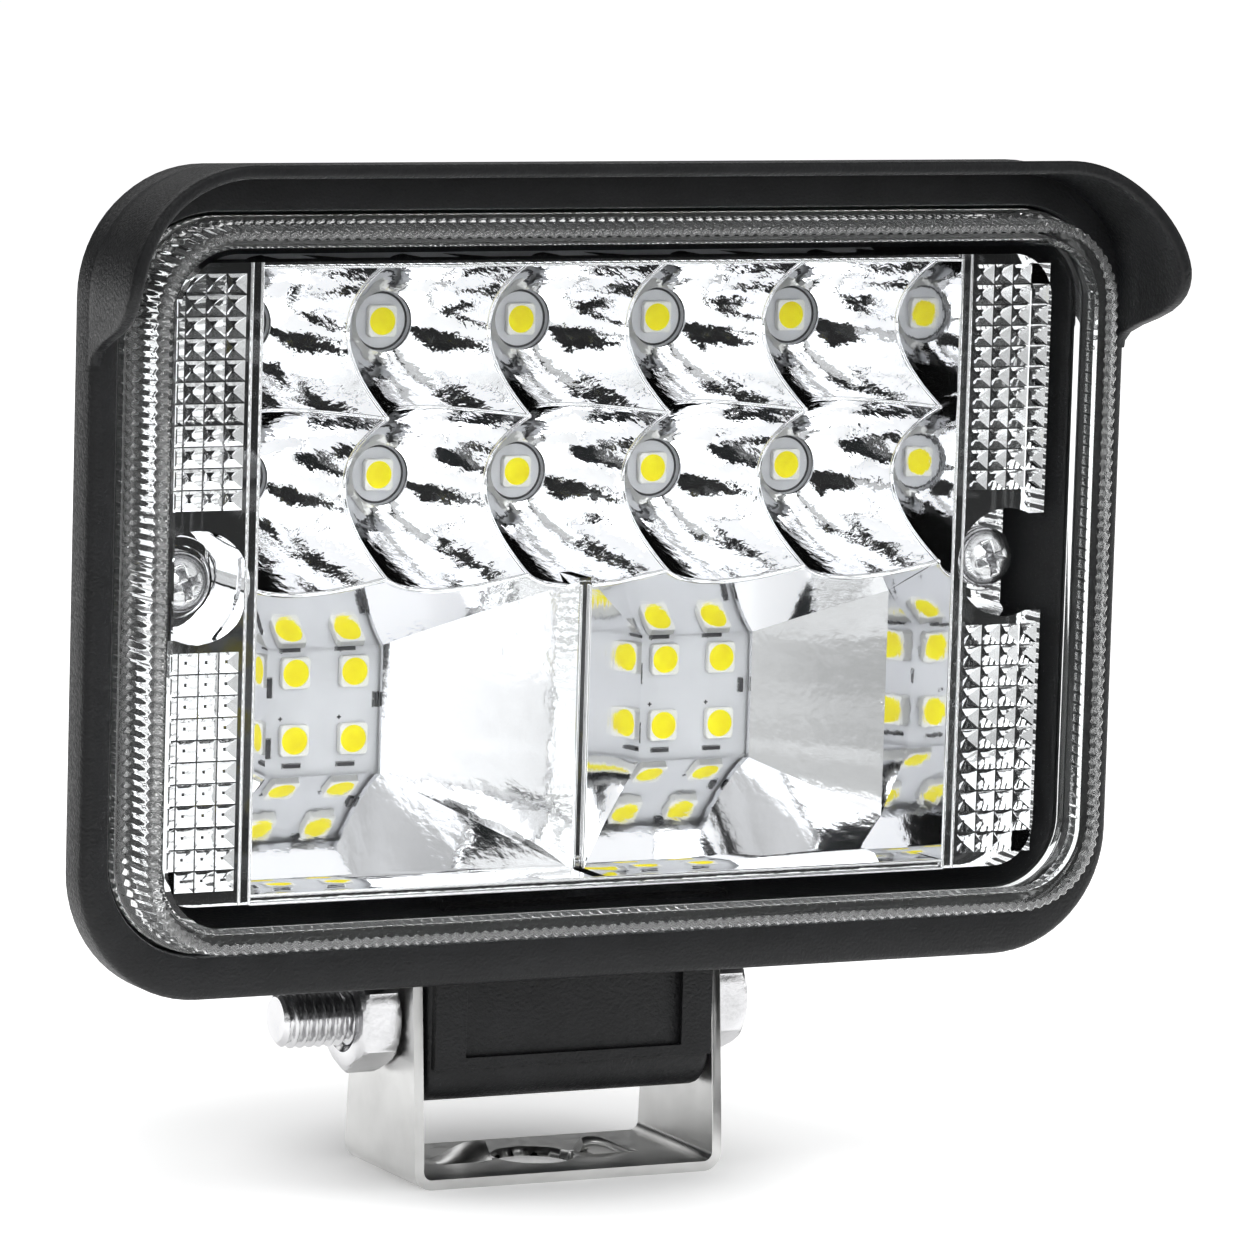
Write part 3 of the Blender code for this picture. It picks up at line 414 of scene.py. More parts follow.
def add_visor():
    """Slightly flared peak over the lens, its lower corners rolled back into the rim."""
    rim = outline(*RIM, 24, 8, 60)
    inner = outline(*shrink(RIM, VISOR_WALL), 24, 8, 60)
    flared = outline(*shrink(RIM, -VISOR_FLARE), 24, 8, 60)
    low = 21.0
    keep = [i for i, (_, z) in enumerate(rim) if z > low + 0.1]
    order = sorted(keep, key=lambda i: atan2(rim[i][1], rim[i][0]))
    ends = [[(side * (RIM[0] + grow), low) for grow in (0, -VISOR_WALL, VISOR_FLARE)] for side in (1, -1)]
    path = [ends[0]] + [[rim[i], inner[i], flared[i]] for i in order] + [ends[1]]
    root, start = RIM_FRONT + 1.4, RIM_FRONT + 0.9
    columns = []
    for outer, inside, beyond in path:
        front = visor_front(outer[1])
        nose = min(0.45, (start - front) * 0.4)
        depths = [start + (front + nose - start) * i / 6 for i in range(7)]
        outside = [(0.35, root)] + [(0.0, y) for y in depths]
        outside += [(0.08, front + nose * 0.45), (0.25, front + nose * 0.12), (0.42, front)]
        line = []
        for inset, y in outside + [(VISOR_WALL - inset, y) for inset, y in reversed(outside)]:
            t = inset / VISOR_WALL
            grow = max((start - y) / (start - VISOR_FRONT), 0)
            x, z = (o + (i - o) * t + (f - o) * grow for o, i, f in zip(outer, inside, beyond))
            line.append((x, y, LAMP_Z + z))
        columns.append(line)
    shape = Shape()
    shape.grid(columns, True)
    shape.cap(columns[0])
    shape.cap(columns[-1][::-1])
    shape.piece("housing_visor", [POWDER], 50, LAMP)


LUG_HALF, LUG_RADIUS, LUG_CORNER, LUG_HOLE = 15.3, 8.0, 3.6, 3.3


def add_lug():
    """Cast lug under the body, with the tilt bolt's hole through it and a raised frame on its face."""
    top = LAMP_Z - BODY_BACK[1] + 1.5 - AXIS_Z
    waist, spread = 0.55 * top, 2.6
    foot = LUG_RADIUS - LUG_CORNER
    section = arc((-foot, -foot), LUG_CORNER, -180, -90, 12) + arc((foot, -foot), LUG_CORNER, -90, 0, 12)
    section += [(LUG_RADIUS, waist * i / 6) for i in range(1, 7)]
    section += [(LUG_RADIUS + spread * (1 - cos(radians(a))), waist + (top - waist) * sin(radians(a)))
                for a in (20, 40, 60, 80, 90)]
    loop = section + [(-y, z) for y, z in reversed(section) if z > 0]

    def ring(x, pull=None):
        """The section pulled in by a distance, or the bolt's hole where no distance is given."""
        shares = [(LUG_HOLE if pull is None else hypot(y, z) - pull) / hypot(y, z) for y, z in loop]
        return [(x, y * share, AXIS_Z + z * share) for (y, z), share in zip(loop, shares)]

    rings = []
    for side in (-1, 1):
        end = [ring(side * LUG_HALF), ring(side * LUG_HALF, 0.9), ring(side * (LUG_HALF - 0.12), 0.45),
               ring(side * (LUG_HALF - 0.45), 0.12), ring(side * (LUG_HALF - 0.9), 0)]
        rings += end[::-side]
    shape = Shape()
    shape.closed_loop(rings)
    for side in (-1, 1):
        x = sorted((side * (LUG_HALF - 0.3), side * (LUG_HALF - 3.6)))
        shape.block(x, (-LUG_RADIUS - 0.7, -LUG_RADIUS + 0.5), (AXIS_Z - 4.3, AXIS_Z + top))
    shape.block((-LUG_HALF + 3.0, LUG_HALF - 3.0), (-LUG_RADIUS - 0.69, -LUG_RADIUS + 0.5),
                (AXIS_Z - 4.29, AXIS_Z - 3.2))
    shape.piece("housing_lug", [POWDER], 40, LAMP, (), 0.3, 3)


GLAND, GLAND_BAY = (0.0, -20.5), 9.2
VENT, VENT_BAY = (27.6, -20.5), 6.1


FIN_COUNT, FIN_PITCH, FIN_REACH, FIN_SLOPE = 11, 6.9, 32.4, 5.0


def add_fins():
    """Cooling fins with rounded tips; those over a back fitting stop above it."""
    root, foot = BACK_Y - 1.2, BACK_Y + 1.0
    shape = Shape()
    for i in range(FIN_COUNT):
        x = (i - FIN_COUNT // 2) * FIN_PITCH
        high, low, low_slope = FIN_REACH, -FIN_REACH, FIN_SLOPE
        for (cx, cz), bay in ((GLAND, GLAND_BAY), (VENT, VENT_BAY)):
            if abs(x - cx) < bay - 1.2:
                low, low_slope = cz + sqrt(bay ** 2 - (x - cx) ** 2), 1.0
        rings = []
        for side, wide_tip, wide_foot, tip in ((-1, 0.7, 0.7, FIN_BACK), (-1, 1.0, 1.5, FIN_BACK - 0.35),
                                               (1, 1.0, 1.5, FIN_BACK - 0.35), (1, 0.7, 0.7, FIN_BACK)):
            line = [(root, low), (foot, low), (tip, low + low_slope), (tip, high - FIN_SLOPE), (foot, high),
                    (root, high)]
            rings.append([(x + side * (wide_tip if y == tip else wide_foot), y, LAMP_Z + z) for y, z in line])
        shape.tube(rings)
    shape.piece("housing_fins", [POWDER], 30, LAMP, (), 0.15)


# ---- lens
LENS_BASE, LENS_FRONT = (51.4, 34.5, 8.8), (51.1, 34.2, 8.4)
LENS_FLANGE, LENS_WALL = (52.1, 34.8, 9.2), 1.8
LENS_FRONT_Y, LENS_FLANGE_Y, LENS_BACK_Y = -21.75, -16.0, -14.4
RIB_POINTS = 6


def add_lens():
    """Clear tray: plain face, side wall fluted all the way round, flange in the rim's seat."""
    counts = (13 * RIB_POINTS, 82 * RIB_POINTS, 50 * RIB_POINTS)

    def ring(size, inset, y, flute=0.0):
        points = np.array(outline(*shrink(size, inset), *counts))
        if flute:
            after, before = np.roll(points, -1, 0), np.roll(points, 1, 0)
            along = after - before
            along /= np.linalg.norm(along, axis=1)[:, None]
            outward = np.stack((along[:, 1], -along[:, 0]), 1)
            wave = 0.5 - 0.5 * np.cos(2 * pi * np.arange(len(points)) / RIB_POINTS)
            points = points - outward * (flute * wave)[:, None]
        return at_depth([tuple(p) for p in points], y)

    back = LENS_FRONT_Y + LENS_WALL
    stack = [(LENS_FRONT, LENS_WALL + 0.7, back, 0), (LENS_FRONT, LENS_WALL + 0.2, back + 0.15, 0),
             (LENS_FRONT, LENS_WALL, back + 0.6, 0), (LENS_BASE, LENS_WALL, LENS_BACK_Y, 0),
             (LENS_FLANGE, 0.15, LENS_BACK_Y, 0), (LENS_FLANGE, 0, LENS_BACK_Y - 0.15, 0),
             (LENS_FLANGE, 0, LENS_FLANGE_Y + 0.15, 0), (LENS_FLANGE, 0.15, LENS_FLANGE_Y, 0),
             (LENS_BASE, -0.1, LENS_FLANGE_Y - 0.03, 0), (LENS_BASE, 0, LENS_FLANGE_Y - 0.15, 0.24),
             (LENS_BASE, 0.02, LENS_FLANGE_Y - 2.4, 0.24)]
    for i in range(6):
        angle = radians(90 * i / 5)
        stack.append((LENS_FRONT, 1 - cos(angle), LENS_FRONT_Y + 1 - sin(angle), 0.24))
    shape = Shape()
    rings = [ring(*layer) for layer in stack]
    shape.grid(rings[:10], True)
    shape.grid(rings[9:], True, 1)
    shape.cap(rings[0][::-1])
    shape.cap(rings[-1])
    shape.piece("lens_cover", [CLEAR, WALL], 30, LAMP, ["lens"])


# ---- reflector
CUPS_ACROSS, PITCH, HALF_PITCH, CUPS_HALF = 5, 15.0, 7.5, 37.5
ROWS = (22.4, 7.3)                   # heights of the two rows of cups above the lamp's middle
NECK = 0.5                           # depth of the openings behind the cups and the flood cells
PANEL_Y, CELL_X, CELL_TOP, CELL_MID, CELL_BOTTOM = -13.3, 37.4, 29.8, -0.45, -29.9
CUP_HOLE, CUP_FOOT, CUP_DEPTH, CUP_MOUTH = 3.0, 8.2, 17.8, 10.65
DIVIDER_Y, DIVIDER, WINDOW_X, WINDOW_Z = -7.6, 1.3, (14.2, 26.6), (-22.3, -9.5)
WALL_FOOT_X, WALL_FOOT_Y = 36.7, -2.0
PANEL_X, PANEL_LOW, PANEL_HIGH, PANEL_CORNER = 47.5, -30.7, 30.3, 4.4
FIELD_X = (38.95, 47.25)
UPPER_FIELD, LOWER_FIELD = (6.9, 29.34), (-29.34, -6.4)
COLUMNS_OF_PITS, ROWS_OF_PITS = 4, 11
SCREW = (43.4, -0.3)
POCKET, POCKET_FLOOR, NOTCH_X, NOTCH = 5.4, -8.1, 45.8, 4.85
ROW_EDGES = ((14.85, CELL_TOP), (None, 14.85))


def cup_x(column):
    """Middle of a cup across the lamp."""
    return (column - (CUPS_ACROSS - 1) / 2) * PITCH


def cup_y(radius):
    """Depth of the cups' paraboloid at a radius."""
    return CUP_FOOT - CUP_DEPTH * (radius ** 2 - CUP_HOLE ** 2) / (CUP_MOUTH ** 2 - CUP_HOLE ** 2)


TOP_SLOPE = (CUP_FOOT + 9.9) / (CELL_MID - WINDOW_Z[1])     # depth of the upper flood facet per millimetre up
BOW = 0.45                           # how far the flood facets sag between window and rim


def bowed(y):
    """Depth of a flood facet's slightly hollow surface where a flat facet would be at y."""
    share = (CUP_FOOT - y) / (CUP_FOOT - DIVIDER_Y)
    return y + BOW * 4 * share * (1 - share)


def facet_y(z):
    """Depth of the flood cells' upper facet at a height above the lamp's middle."""
    return bowed(CUP_FOOT + TOP_SLOPE * (WINDOW_Z[1] - z))


def last_true(test, good, bad):
    """Value between good and bad up to which test holds."""
    for _ in range(40):
        middle = (good + bad) / 2
        good, bad = (middle, bad) if test(middle) else (good, middle)
    return good


def cup_reach(angle, row):
    """Radius at which a cup ends in a direction: at its neighbour, at the wall, or at the flood facet."""
    c, s = cos(angle), sin(angle)
    low, high = ROW_EDGES[row]
    reach = HALF_PITCH / abs(c) if abs(c) > 1e-9 else 1e9
    if s > 1e-9:
        return min(reach, (high - ROWS[row]) / s)
    if s > -1e-9:
        return reach
    if low is not None:
        return min(reach, (low - ROWS[row]) / s)

    def above_facet(radius):
        """Whether the cup still stands in front of the flood facet."""
        return cup_y(radius) > facet_y(ROWS[row] + radius * s)

    large = min(reach, 14.0)
    return reach if above_facet(large) else min(reach, last_true(above_facet, CUP_HOLE, large))


def row_limits(row):
    """Lowest and highest point of the ridges beside a row's cups."""
    low, high = ROW_EDGES[row]
    if low is None:
        low = ROWS[row] + last_true(lambda z: cup_y(hypot(HALF_PITCH, z)) > facet_y(ROWS[row] + z), 0.0, -9.0)
    return low, high


def cup_angles(row):
    """Directions round a cup, with its four corners among them."""
    steps = 28
    low, high = (z - ROWS[row] for z in row_limits(row))
    corners = [atan2(high, HALF_PITCH), atan2(high, -HALF_PITCH),
               atan2(low, -HALF_PITCH) + 2 * pi, atan2(low, HALF_PITCH) + 2 * pi]
    angles = []
    for a, b in zip(corners, corners[1:] + [corners[0] + 2 * pi]):
        angles += [a + (b - a) * i / steps for i in range(steps)]
    return angles


def bead(shape, points, across, radius=0.2):
    """Thin rounded bead along a line; across is any direction not along it."""
    line, sides = np.array(points, float), 8
    along = np.gradient(line, axis=0)
    rings = []
    for place, way in zip(line, along):
        first = np.cross(way, across)
        first /= np.linalg.norm(first)
        second = np.cross(first, way)
        second /= np.linalg.norm(second)
        rings.append([tuple(place + radius * (cos(a) * first + sin(a) * second))
                      for a in (2 * pi * k / sides for k in range(sides))])
    shape.tube(rings)


def add_ridges(shape, seam):
    """Rounded crests where the cups, the flood cells and the lips meet."""
    steps = 32
    for row, height in enumerate(ROWS):
        foot, high = row_limits(row)
        line = [(cup_y(hypot(HALF_PITCH, z - height)), LAMP_Z + z)
                for z in (foot + (high - foot) * i / steps for i in range(steps + 1))]
        for column in range(CUPS_ACROSS + 1):
            bead(shape, [(cup_x(column) - HALF_PITCH, y, z) for y, z in line], (1, 0, 0))
    middle = ROW_EDGES[0][0]
    for column in range(CUPS_ACROSS):
        line = [(cup_x(column) + dx, cup_y(hypot(dx, ROWS[0] - middle)), LAMP_Z + middle)
                for dx in (PITCH * i / steps - HALF_PITCH for i in range(steps + 1))]
        bead(shape, line, (0, 0, 1))
    lip = sorted(set((round(x, 3), round(y, 3), round(z, 3)) for x, y, z in seam))
    bead(shape, [p for i, p in enumerate(lip) if i == 0 or p[0] - lip[i - 1][0] > 0.01], (0, 1, 0), 0.26)
    for z in (CELL_BOTTOM, PANEL_LOW, CELL_TOP):
        bead(shape, [(x, PANEL_Y, LAMP_Z + z) for x in (-CELL_X, 0, CELL_X)], (0, 0, 1), 0.17)
    for x in (-0.5, 0.5):
        bead(shape, [(x, DIVIDER_Y, LAMP_Z + z) for z in (CELL_BOTTOM, -15, -2)], (1, 0, 0))
    for side in (-1, 1):
        for x in (CELL_X, FIELD_X[0] - 0.5):
            line = [(side * x, PANEL_Y, LAMP_Z + z) for z in (PANEL_LOW, 0, PANEL_HIGH)]
            bead(shape, line, (1, 0, 0), 0.16)


def add_cups(shape):
    """Ten paraboloid cups that meet in ridges, each with a short neck down to its light source."""
    seam, steps = [], 12
    for row, height in enumerate(ROWS):
        angles = cup_angles(row)
        reaches = [cup_reach(a, row) for a in angles]
        for cx in (cup_x(column) for column in range(CUPS_ACROSS)):
            rings = []
            for i in range(-1, steps + 1):
                radii = [CUP_HOLE + (reach - CUP_HOLE) * max(i, 0) / steps for reach in reaches]
                neck = NECK if i < 0 else 0
                rings.append([(cx + r * cos(a), cup_y(r) + neck, LAMP_Z + height + r * sin(a))
                              for r, a in zip(radii, angles)])
            shape.grid(rings, True)
            if row == 1:
                seam += [p for p, a in zip(rings[-1], angles)
                         if sin(a) < -0.3 and abs(p[1] - facet_y(p[2] - LAMP_Z)) < 0.02]
            else:
                top = sorted(p for p in rings[-1] if abs(p[2] - LAMP_Z - CELL_TOP) < 0.01)
                shape.grid([top, [(x, PANEL_Y, z) for x, _, z in top]])
    return seam


def add_side_walls(shape):
    """Upright mirror walls between the cups and the prism panels."""
    for side in (-1, 1):
        rim = []
        for row, height in enumerate(ROWS):
            low, high = ROW_EDGES[row]
            low = CELL_MID if low is None else low
            for i in range(25):
                z = high + (low - high) * i / 24
                rim.append((side * CUPS_HALF, cup_y(hypot(HALF_PITCH, z - height)), LAMP_Z + z))
        shape.grid([rim, [(side * CELL_X, PANEL_Y, z) for _, _, z in rim]])


def wall_x(y):
    """Inner face of the steep outer wall of a flood cell at a depth."""
    return WALL_FOOT_X + (CELL_X - WALL_FOOT_X) * (WALL_FOOT_Y - y) / (WALL_FOOT_Y - PANEL_Y)


def add_flood_cells(shape, seam):
    """Two hollow-sided funnels round the flood light sources, with a divider between them."""
    steps = 14
    full = CUP_FOOT - DIVIDER_Y
    out_share = (CUP_FOOT - WALL_FOOT_Y) / full
    low_drop = WINDOW_Z[0] - CELL_BOTTOM
    for side in (-1, 1):

        def spot(x, y, z):
            """Point of this side's cell, its height from the lamp's middle."""
            return (side * x, y, LAMP_Z + z)

        def rows(edge_start, edge_end, far_start, far_end, drop):
            """Points of one facet from the window's edge outwards; drop is its depth range."""
            ends = zip(line_between(edge_start, far_start, steps), line_between(edge_end, far_end, steps))
            return [[spot(x, bowed(CUP_FOOT - drop * i / steps), z)
                     for x, z in line_between(start, end, steps)] for i, (start, end) in enumerate(ends)]

        near, far, mid = WINDOW_X[0], WINDOW_X[1], DIVIDER / 2
        high, low = WINDOW_Z[1], WINDOW_Z[0]
        hip_in = high + full / TOP_SLOPE
        hip_out = high + full * out_share / TOP_SLOPE
        foot_out = low - low_drop * out_share
        shape.grid(rows((near, high), (near, low), (mid, hip_in), (mid, CELL_BOTTOM), full))
        outer = rows((far, high), (far, low), (WALL_FOOT_X, hip_out), (WALL_FOOT_X, foot_out),
                     full * out_share)
        shape.grid(outer)
        bottom = [(out_share * i / steps, far + (WALL_FOOT_X - far) * i / steps) for i in range(steps + 1)]
        for i in range(1, 7):
            t = out_share + (1 - out_share) * i / 6
            bottom.append((t, wall_x(CUP_FOOT - full * t)))
        floor_rows = []
        for t, out_x in bottom:
            y, z, in_x = bowed(CUP_FOOT - full * t), low - low_drop * t, near + (mid - near) * t
            floor_rows.append([spot(in_x + (out_x - in_x) * i / steps, y, z) for i in range(steps + 1)])
        shape.grid(floor_rows)
        edge = [spot(CUPS_HALF, facet_y(CELL_MID), CELL_MID)]
        edge += outer[-1] + [row[-1] for row in floor_rows[steps + 1:]]
        shape.grid([edge, [(side * CELL_X, PANEL_Y, z) for _, _, z in edge]])
        shape.grid([floor_rows[-1], [(x, PANEL_Y, z) for x, _, z in floor_rows[-1]]])
        shape.grid([[spot(x, y, z) for x, z in ((near, high), (far, high), (far, low), (near, low))]
                    for y in (CUP_FOOT, CUP_FOOT + NECK)], True)
        columns = []
        for point in sorted((p for p in seam if p[0] * side >= -0.01), key=lambda p: p[0] * side):
            x, z = abs(point[0]), point[2] - LAMP_Z
            if x < near:
                share = min(max(1 - (x - mid) / (near - mid), 0), 1)
                foot = (x, high + (hip_in - high) * share)
            elif x > far:
                share = min((x - far) / (WALL_FOOT_X - far), 1)
                foot = (x, high + (hip_out - high) * share)
            else:
                foot = (x, high)
            columns.append([spot(px, facet_y(pz), pz) for px, pz in line_between(foot, (x, z), steps)])
        shape.grid(columns)
    shape.block((-mid, mid), (DIVIDER_Y + 0.15, CUP_FOOT), (LAMP_Z + CELL_BOTTOM, LAMP_Z + hip_in + 0.3))


def pits(shape, x, z, skip):
    """Field of four-sided pits on the panel plane between x and z limits, but for one left flat."""
    land, floor, depth = 0.07, 0.12, 0.62
    step_x, step_z = (x[1] - x[0]) / COLUMNS_OF_PITS, (z[1] - z[0]) / ROWS_OF_PITS
    for i in range(COLUMNS_OF_PITS):
        for j in range(ROWS_OF_PITS):
            cx, cz = x[0] + (i + 0.5) * step_x, z[0] + (j + 0.5) * step_z

            def ring(share, y=PANEL_Y):
                """Square round the pit's middle at a share of its size."""
                return [(cx + sx * share * step_x / 2, y, LAMP_Z + cz + sz * share * step_z / 2)
                        for sx, sz in ((-1, -1), (1, -1), (1, 1), (-1, 1))]

            if skip == (i, j):
                shape.cap(ring(1), 1)
                continue
            base, lip = shape.add(ring(1)), shape.add(ring(1 - land))
            deep = shape.add(ring(floor, PANEL_Y + depth))
            for k, m in ((0, 1), (1, 2), (2, 3), (3, 0)):
                shape.face((base + k, base + m, lip + m, lip + k), 1)
                shape.face((lip + k, lip + m, deep + m, deep + k), 1)
            shape.face(range(deep, deep + 4), 1)


def flat(shape, points, side, y=PANEL_Y):
    """One flat face through (x, height) points, mirrored for the left side."""
    shape.cap([(side * x, y, LAMP_Z + z) for x, z in points], 1)


def panel_corner(low):
    """Rounded outer corner of a panel, from its side to its top or bottom."""
    height = PANEL_LOW + PANEL_CORNER if low else PANEL_HIGH - PANEL_CORNER
    return arc((PANEL_X - PANEL_CORNER, height), PANEL_CORNER, 0, -90 if low else 90, 10)


def add_panels(shape):
    """Prism panels at both sides, and the screw pocket between their upper and lower blocks."""
    inner, outer = CELL_X, PANEL_X
    cell_x = (FIELD_X[1] - FIELD_X[0]) / COLUMNS_OF_PITS
    for side in (-1, 1):
        xs = sorted((side * FIELD_X[0], side * FIELD_X[1]))
        corner = COLUMNS_OF_PITS - 1 if side > 0 else 0
        pits(shape, xs, UPPER_FIELD, (corner, ROWS_OF_PITS - 1))
        pits(shape, xs, LOWER_FIELD, (corner, 0))
        for (near, far), low in ((UPPER_FIELD, False), ((LOWER_FIELD[1], LOWER_FIELD[0]), True)):
            step = (near - far) / ROWS_OF_PITS
            edge = PANEL_LOW if low else PANEL_HIGH
            flat(shape, [(inner, near), (FIELD_X[0], near), (FIELD_X[0], far), (inner, far)], side)
            flat(shape, [(inner, far), (FIELD_X[1] - cell_x, far), (FIELD_X[1] - cell_x, far + step),
                         (FIELD_X[1], far + step), (FIELD_X[1], near), (outer, near)]
                 + panel_corner(low) + [(inner, edge)], side)
        start = degrees(acos((NOTCH_X - SCREW[0]) / POCKET))
        bowl = arc(SCREW, POCKET, start, 360 - start, 40)
        u_line = [(outer, SCREW[1] + NOTCH), (NOTCH_X, SCREW[1] + NOTCH)] + bowl
        u_line += [(NOTCH_X, SCREW[1] - NOTCH), (outer, SCREW[1] - NOTCH)]
        low, high = LOWER_FIELD[1], UPPER_FIELD[0]
        flat(shape, [(inner, low), (inner, high), (outer, high)] + u_line + [(outer, low)], side)
        shape.grid([[(side * x, y, LAMP_Z + z) for x, z in u_line]
                    for y in (PANEL_Y, PANEL_Y + 0.35, POCKET_FLOOR)], slot=1)
        flat(shape, bowl, side, POCKET_FLOOR)
        shape.grid([[(side * x, POCKET_FLOOR - rise, LAMP_Z + z)
                     for x, z in arc(SCREW, r, start + 8, 352 - start, 32)]
                    for r, rise in ((4.4, 0), (4.3, 0.5), (3.5, 0.5), (3.4, 0))], slot=1)


def add_skirt(shape):
    """Outer wall of the moulding and the lips above and below the cells."""
    for low, high in ((PANEL_LOW, CELL_BOTTOM), (CELL_TOP, PANEL_HIGH)):
        shape.grid([[(x, PANEL_Y + 0.3, LAMP_Z + z) for x in (-CELL_X, CELL_X)] for z in (low, high)])
    for low in (True, False):
        line = [(PANEL_X, -5.15 if low else 4.55)] + panel_corner(low)
        whole = line + [(-x, z) for x, z in reversed(line)]
        shape.grid([[(x, y, LAMP_Z + z) for x, z in whole] for y in (PANEL_Y, PANEL_Y + 3.5)], slot=1)


def add_reflector():
    """Mirror-coated moulding that fills the lamp's face."""
    cups = Shape()
    seam = add_cups(cups)
    cups.piece("reflector_cups", [CUPS], 25, LAMP, ["reflector"])
    cells = Shape()
    add_side_walls(cells)
    add_flood_cells(cells, seam)
    cells.piece("reflector_cells", [CHROME], 25, LAMP)
    ridges = Shape()
    add_ridges(ridges, seam)
    ridges.piece("reflector_ridges", [CHROME], 50, LAMP)
    panels = Shape()
    add_panels(panels)
    add_skirt(panels)
    panels.piece("reflector_panels", [CHROME, FACET], 25, LAMP)


# ---- light sources and screws
LED_SIZE, WELL = (3.0, 3.1), 1.36


def add_led(node):
    """White package with a shallow well of yellow phosphor."""
    low, high = box_mm(node)
    cx, _, cz = (low + high) / 2
    front, back = low[1], high[1]
    half_x, half_z = LED_SIZE[0] / 2, LED_SIZE[1] / 2
    steps = 32
    around = [(cos(a), sin(a)) for a in (2 * pi * (i + 0.5) / steps for i in range(steps))]
    shape = Shape()

    def square(grow, y):
        reaches = [min((half_x + grow) / abs(c), (half_z + grow) / abs(s)) for c, s in around]
        return [(cx + reach * c, y, cz + reach * s) for reach, (c, s) in zip(reaches, around)]

    def circle(radius, y):
        return [(cx + radius * c, y, cz + radius * s) for c, s in around]

    shape.grid([square(0, back), square(0, front + 0.08), square(-0.08, front),
                circle(WELL + 0.06, front), circle(WELL, front + 0.12)], True)
    shape.cap(square(0, back)[::-1])
    shape.grid([circle(WELL, front + 0.12), circle(1.1, front + 0.06), circle(0.7, front + 0.03)], True, 1)
    shape.cap(circle(0.7, front + 0.03), 1)
    shape.piece(node + "_detail", [PACKAGE, PHOSPHOR], 30, LAMP, [node])


FLOOD = (20.2, -15.4)                # middle of a flood group from the middle of the lamp


def add_board_details():
    """Pads and small parts beside the flood sources, and a thin dark ring round each spot source that is a
    painted shadow of the gap under the reflector's neck.
    """
    front = box_mm("led_board")[0][1]
    shape = Shape()
    for side in (-1, 1):
        for dx, dz, wide, tall in ((-3.6, 5.6, 1.9, 0.35), (2.3, 5.6, 1.9, 0.35), (-5.8, 1.9, 0.45, 1.9),
                                   (-5.8, -4.1, 0.45, 1.9), (5.7, 0.4, 0.35, 1.4), (-3.2, -5.9, 1.7, 0.35),
                                   (2.6, -5.9, 1.7, 0.35)):
            x, z = side * FLOOD[0] + dx, LAMP_Z + FLOOD[1] + dz
            for pad, thick, slot in ((0, 0.35, 0), (0.1, 0.08, 1)):
                across, up = wide / 2 + 2 * pad, tall / 2 + pad
                shape.block((x - across, x + across), (front - thick, front + 0.05), (z - up, z + up), slot)
    # Painted shadow: a thin dark ring of component material round each cup's opening stands for the shade
    # between the reflector's neck and the board.
    for height in ROWS:
        for column in range(CUPS_ACROSS):
            shape.closed_loop(lathe([(2.9, front), (2.9, front - 0.05), (2.68, front - 0.05), (2.68, front)],
                                    (cup_x(column), 0, LAMP_Z + height), 'Y', 48))
    for node in (n for n in frame["nodes"] if "flood_led_" in n):
        low, high = box_mm(node)
        x, z = low[0] + 0.1, high[2] + 0.45
        for across, up in ((0.22, 0.07), (0.07, 0.22)):
            shape.block((x - across, x + across), (front - 0.02, front + 0.05), (z - up, z + up))
    shape.piece("board_parts_and_painted_shadow_rings", [MARK, SOLDER], 30, LAMP)


def add_screw(node, radius, head):
    """Pan-head screw with a cross recess."""
    low, high = box_mm(node)
    centre = (low + high) / 2
    front = low[1]
    shank = radius * 0.5
    profile = [(0.02, 0.0), (radius * 0.35, 0.03), (radius * 0.65, 0.16 * head), (radius * 0.88, 0.42 * head),
               (radius, 0.72 * head), (radius, head), (shank, head), (shank, high[1] - front - 0.6),
               (shank * 0.6, high[1] - front)]
    shape = Shape()
    shape.tube(lathe(profile, (centre[0], front, centre[2]), 'Y', 40))
    screw = shape.build(node + "_detail", [ZINC], 35)
    cutters = []
    long, short = radius * 0.52, radius * 0.13
    mouth = [(-long, -short), (long, -short), (long, short), (-long, short)]
    foot = [(px * 0.62, pz * 0.6) for px, pz in mouth]
    for turn in (20, 110):
        c, s = cos(radians(turn)), sin(radians(turn))
        cutter = Shape()
        cutter.tube([[(centre[0] + px * c - pz * s, y, centre[2] + px * s + pz * c) for px, pz in points]
                     for points, y in ((mouth, front - 0.3), (mouth, front + 0.1 * head),
                                       (foot, front + 0.85 * head))])
        cutters.append(cutter.build("recess", [ZINC], 30))
    apply_boolean(screw, cutters)
    finish_piece(screw, LAMP, [node])


# ---- bolt, nut and bracket
HEX, HEAD_HEIGHT = 5.0, 4.0          # half the distance across flats


def hexagon(flat, applies):
    """Radius by angle of a hexagon with its sides at a radius, where applies(radius, along) holds."""
    def radius_of(radius, along, angle):
        turn = (angle + pi / 6) % (pi / 3) - pi / 6
        return min(radius, flat / cos(turn)) if applies(radius, along) else radius
    return radius_of


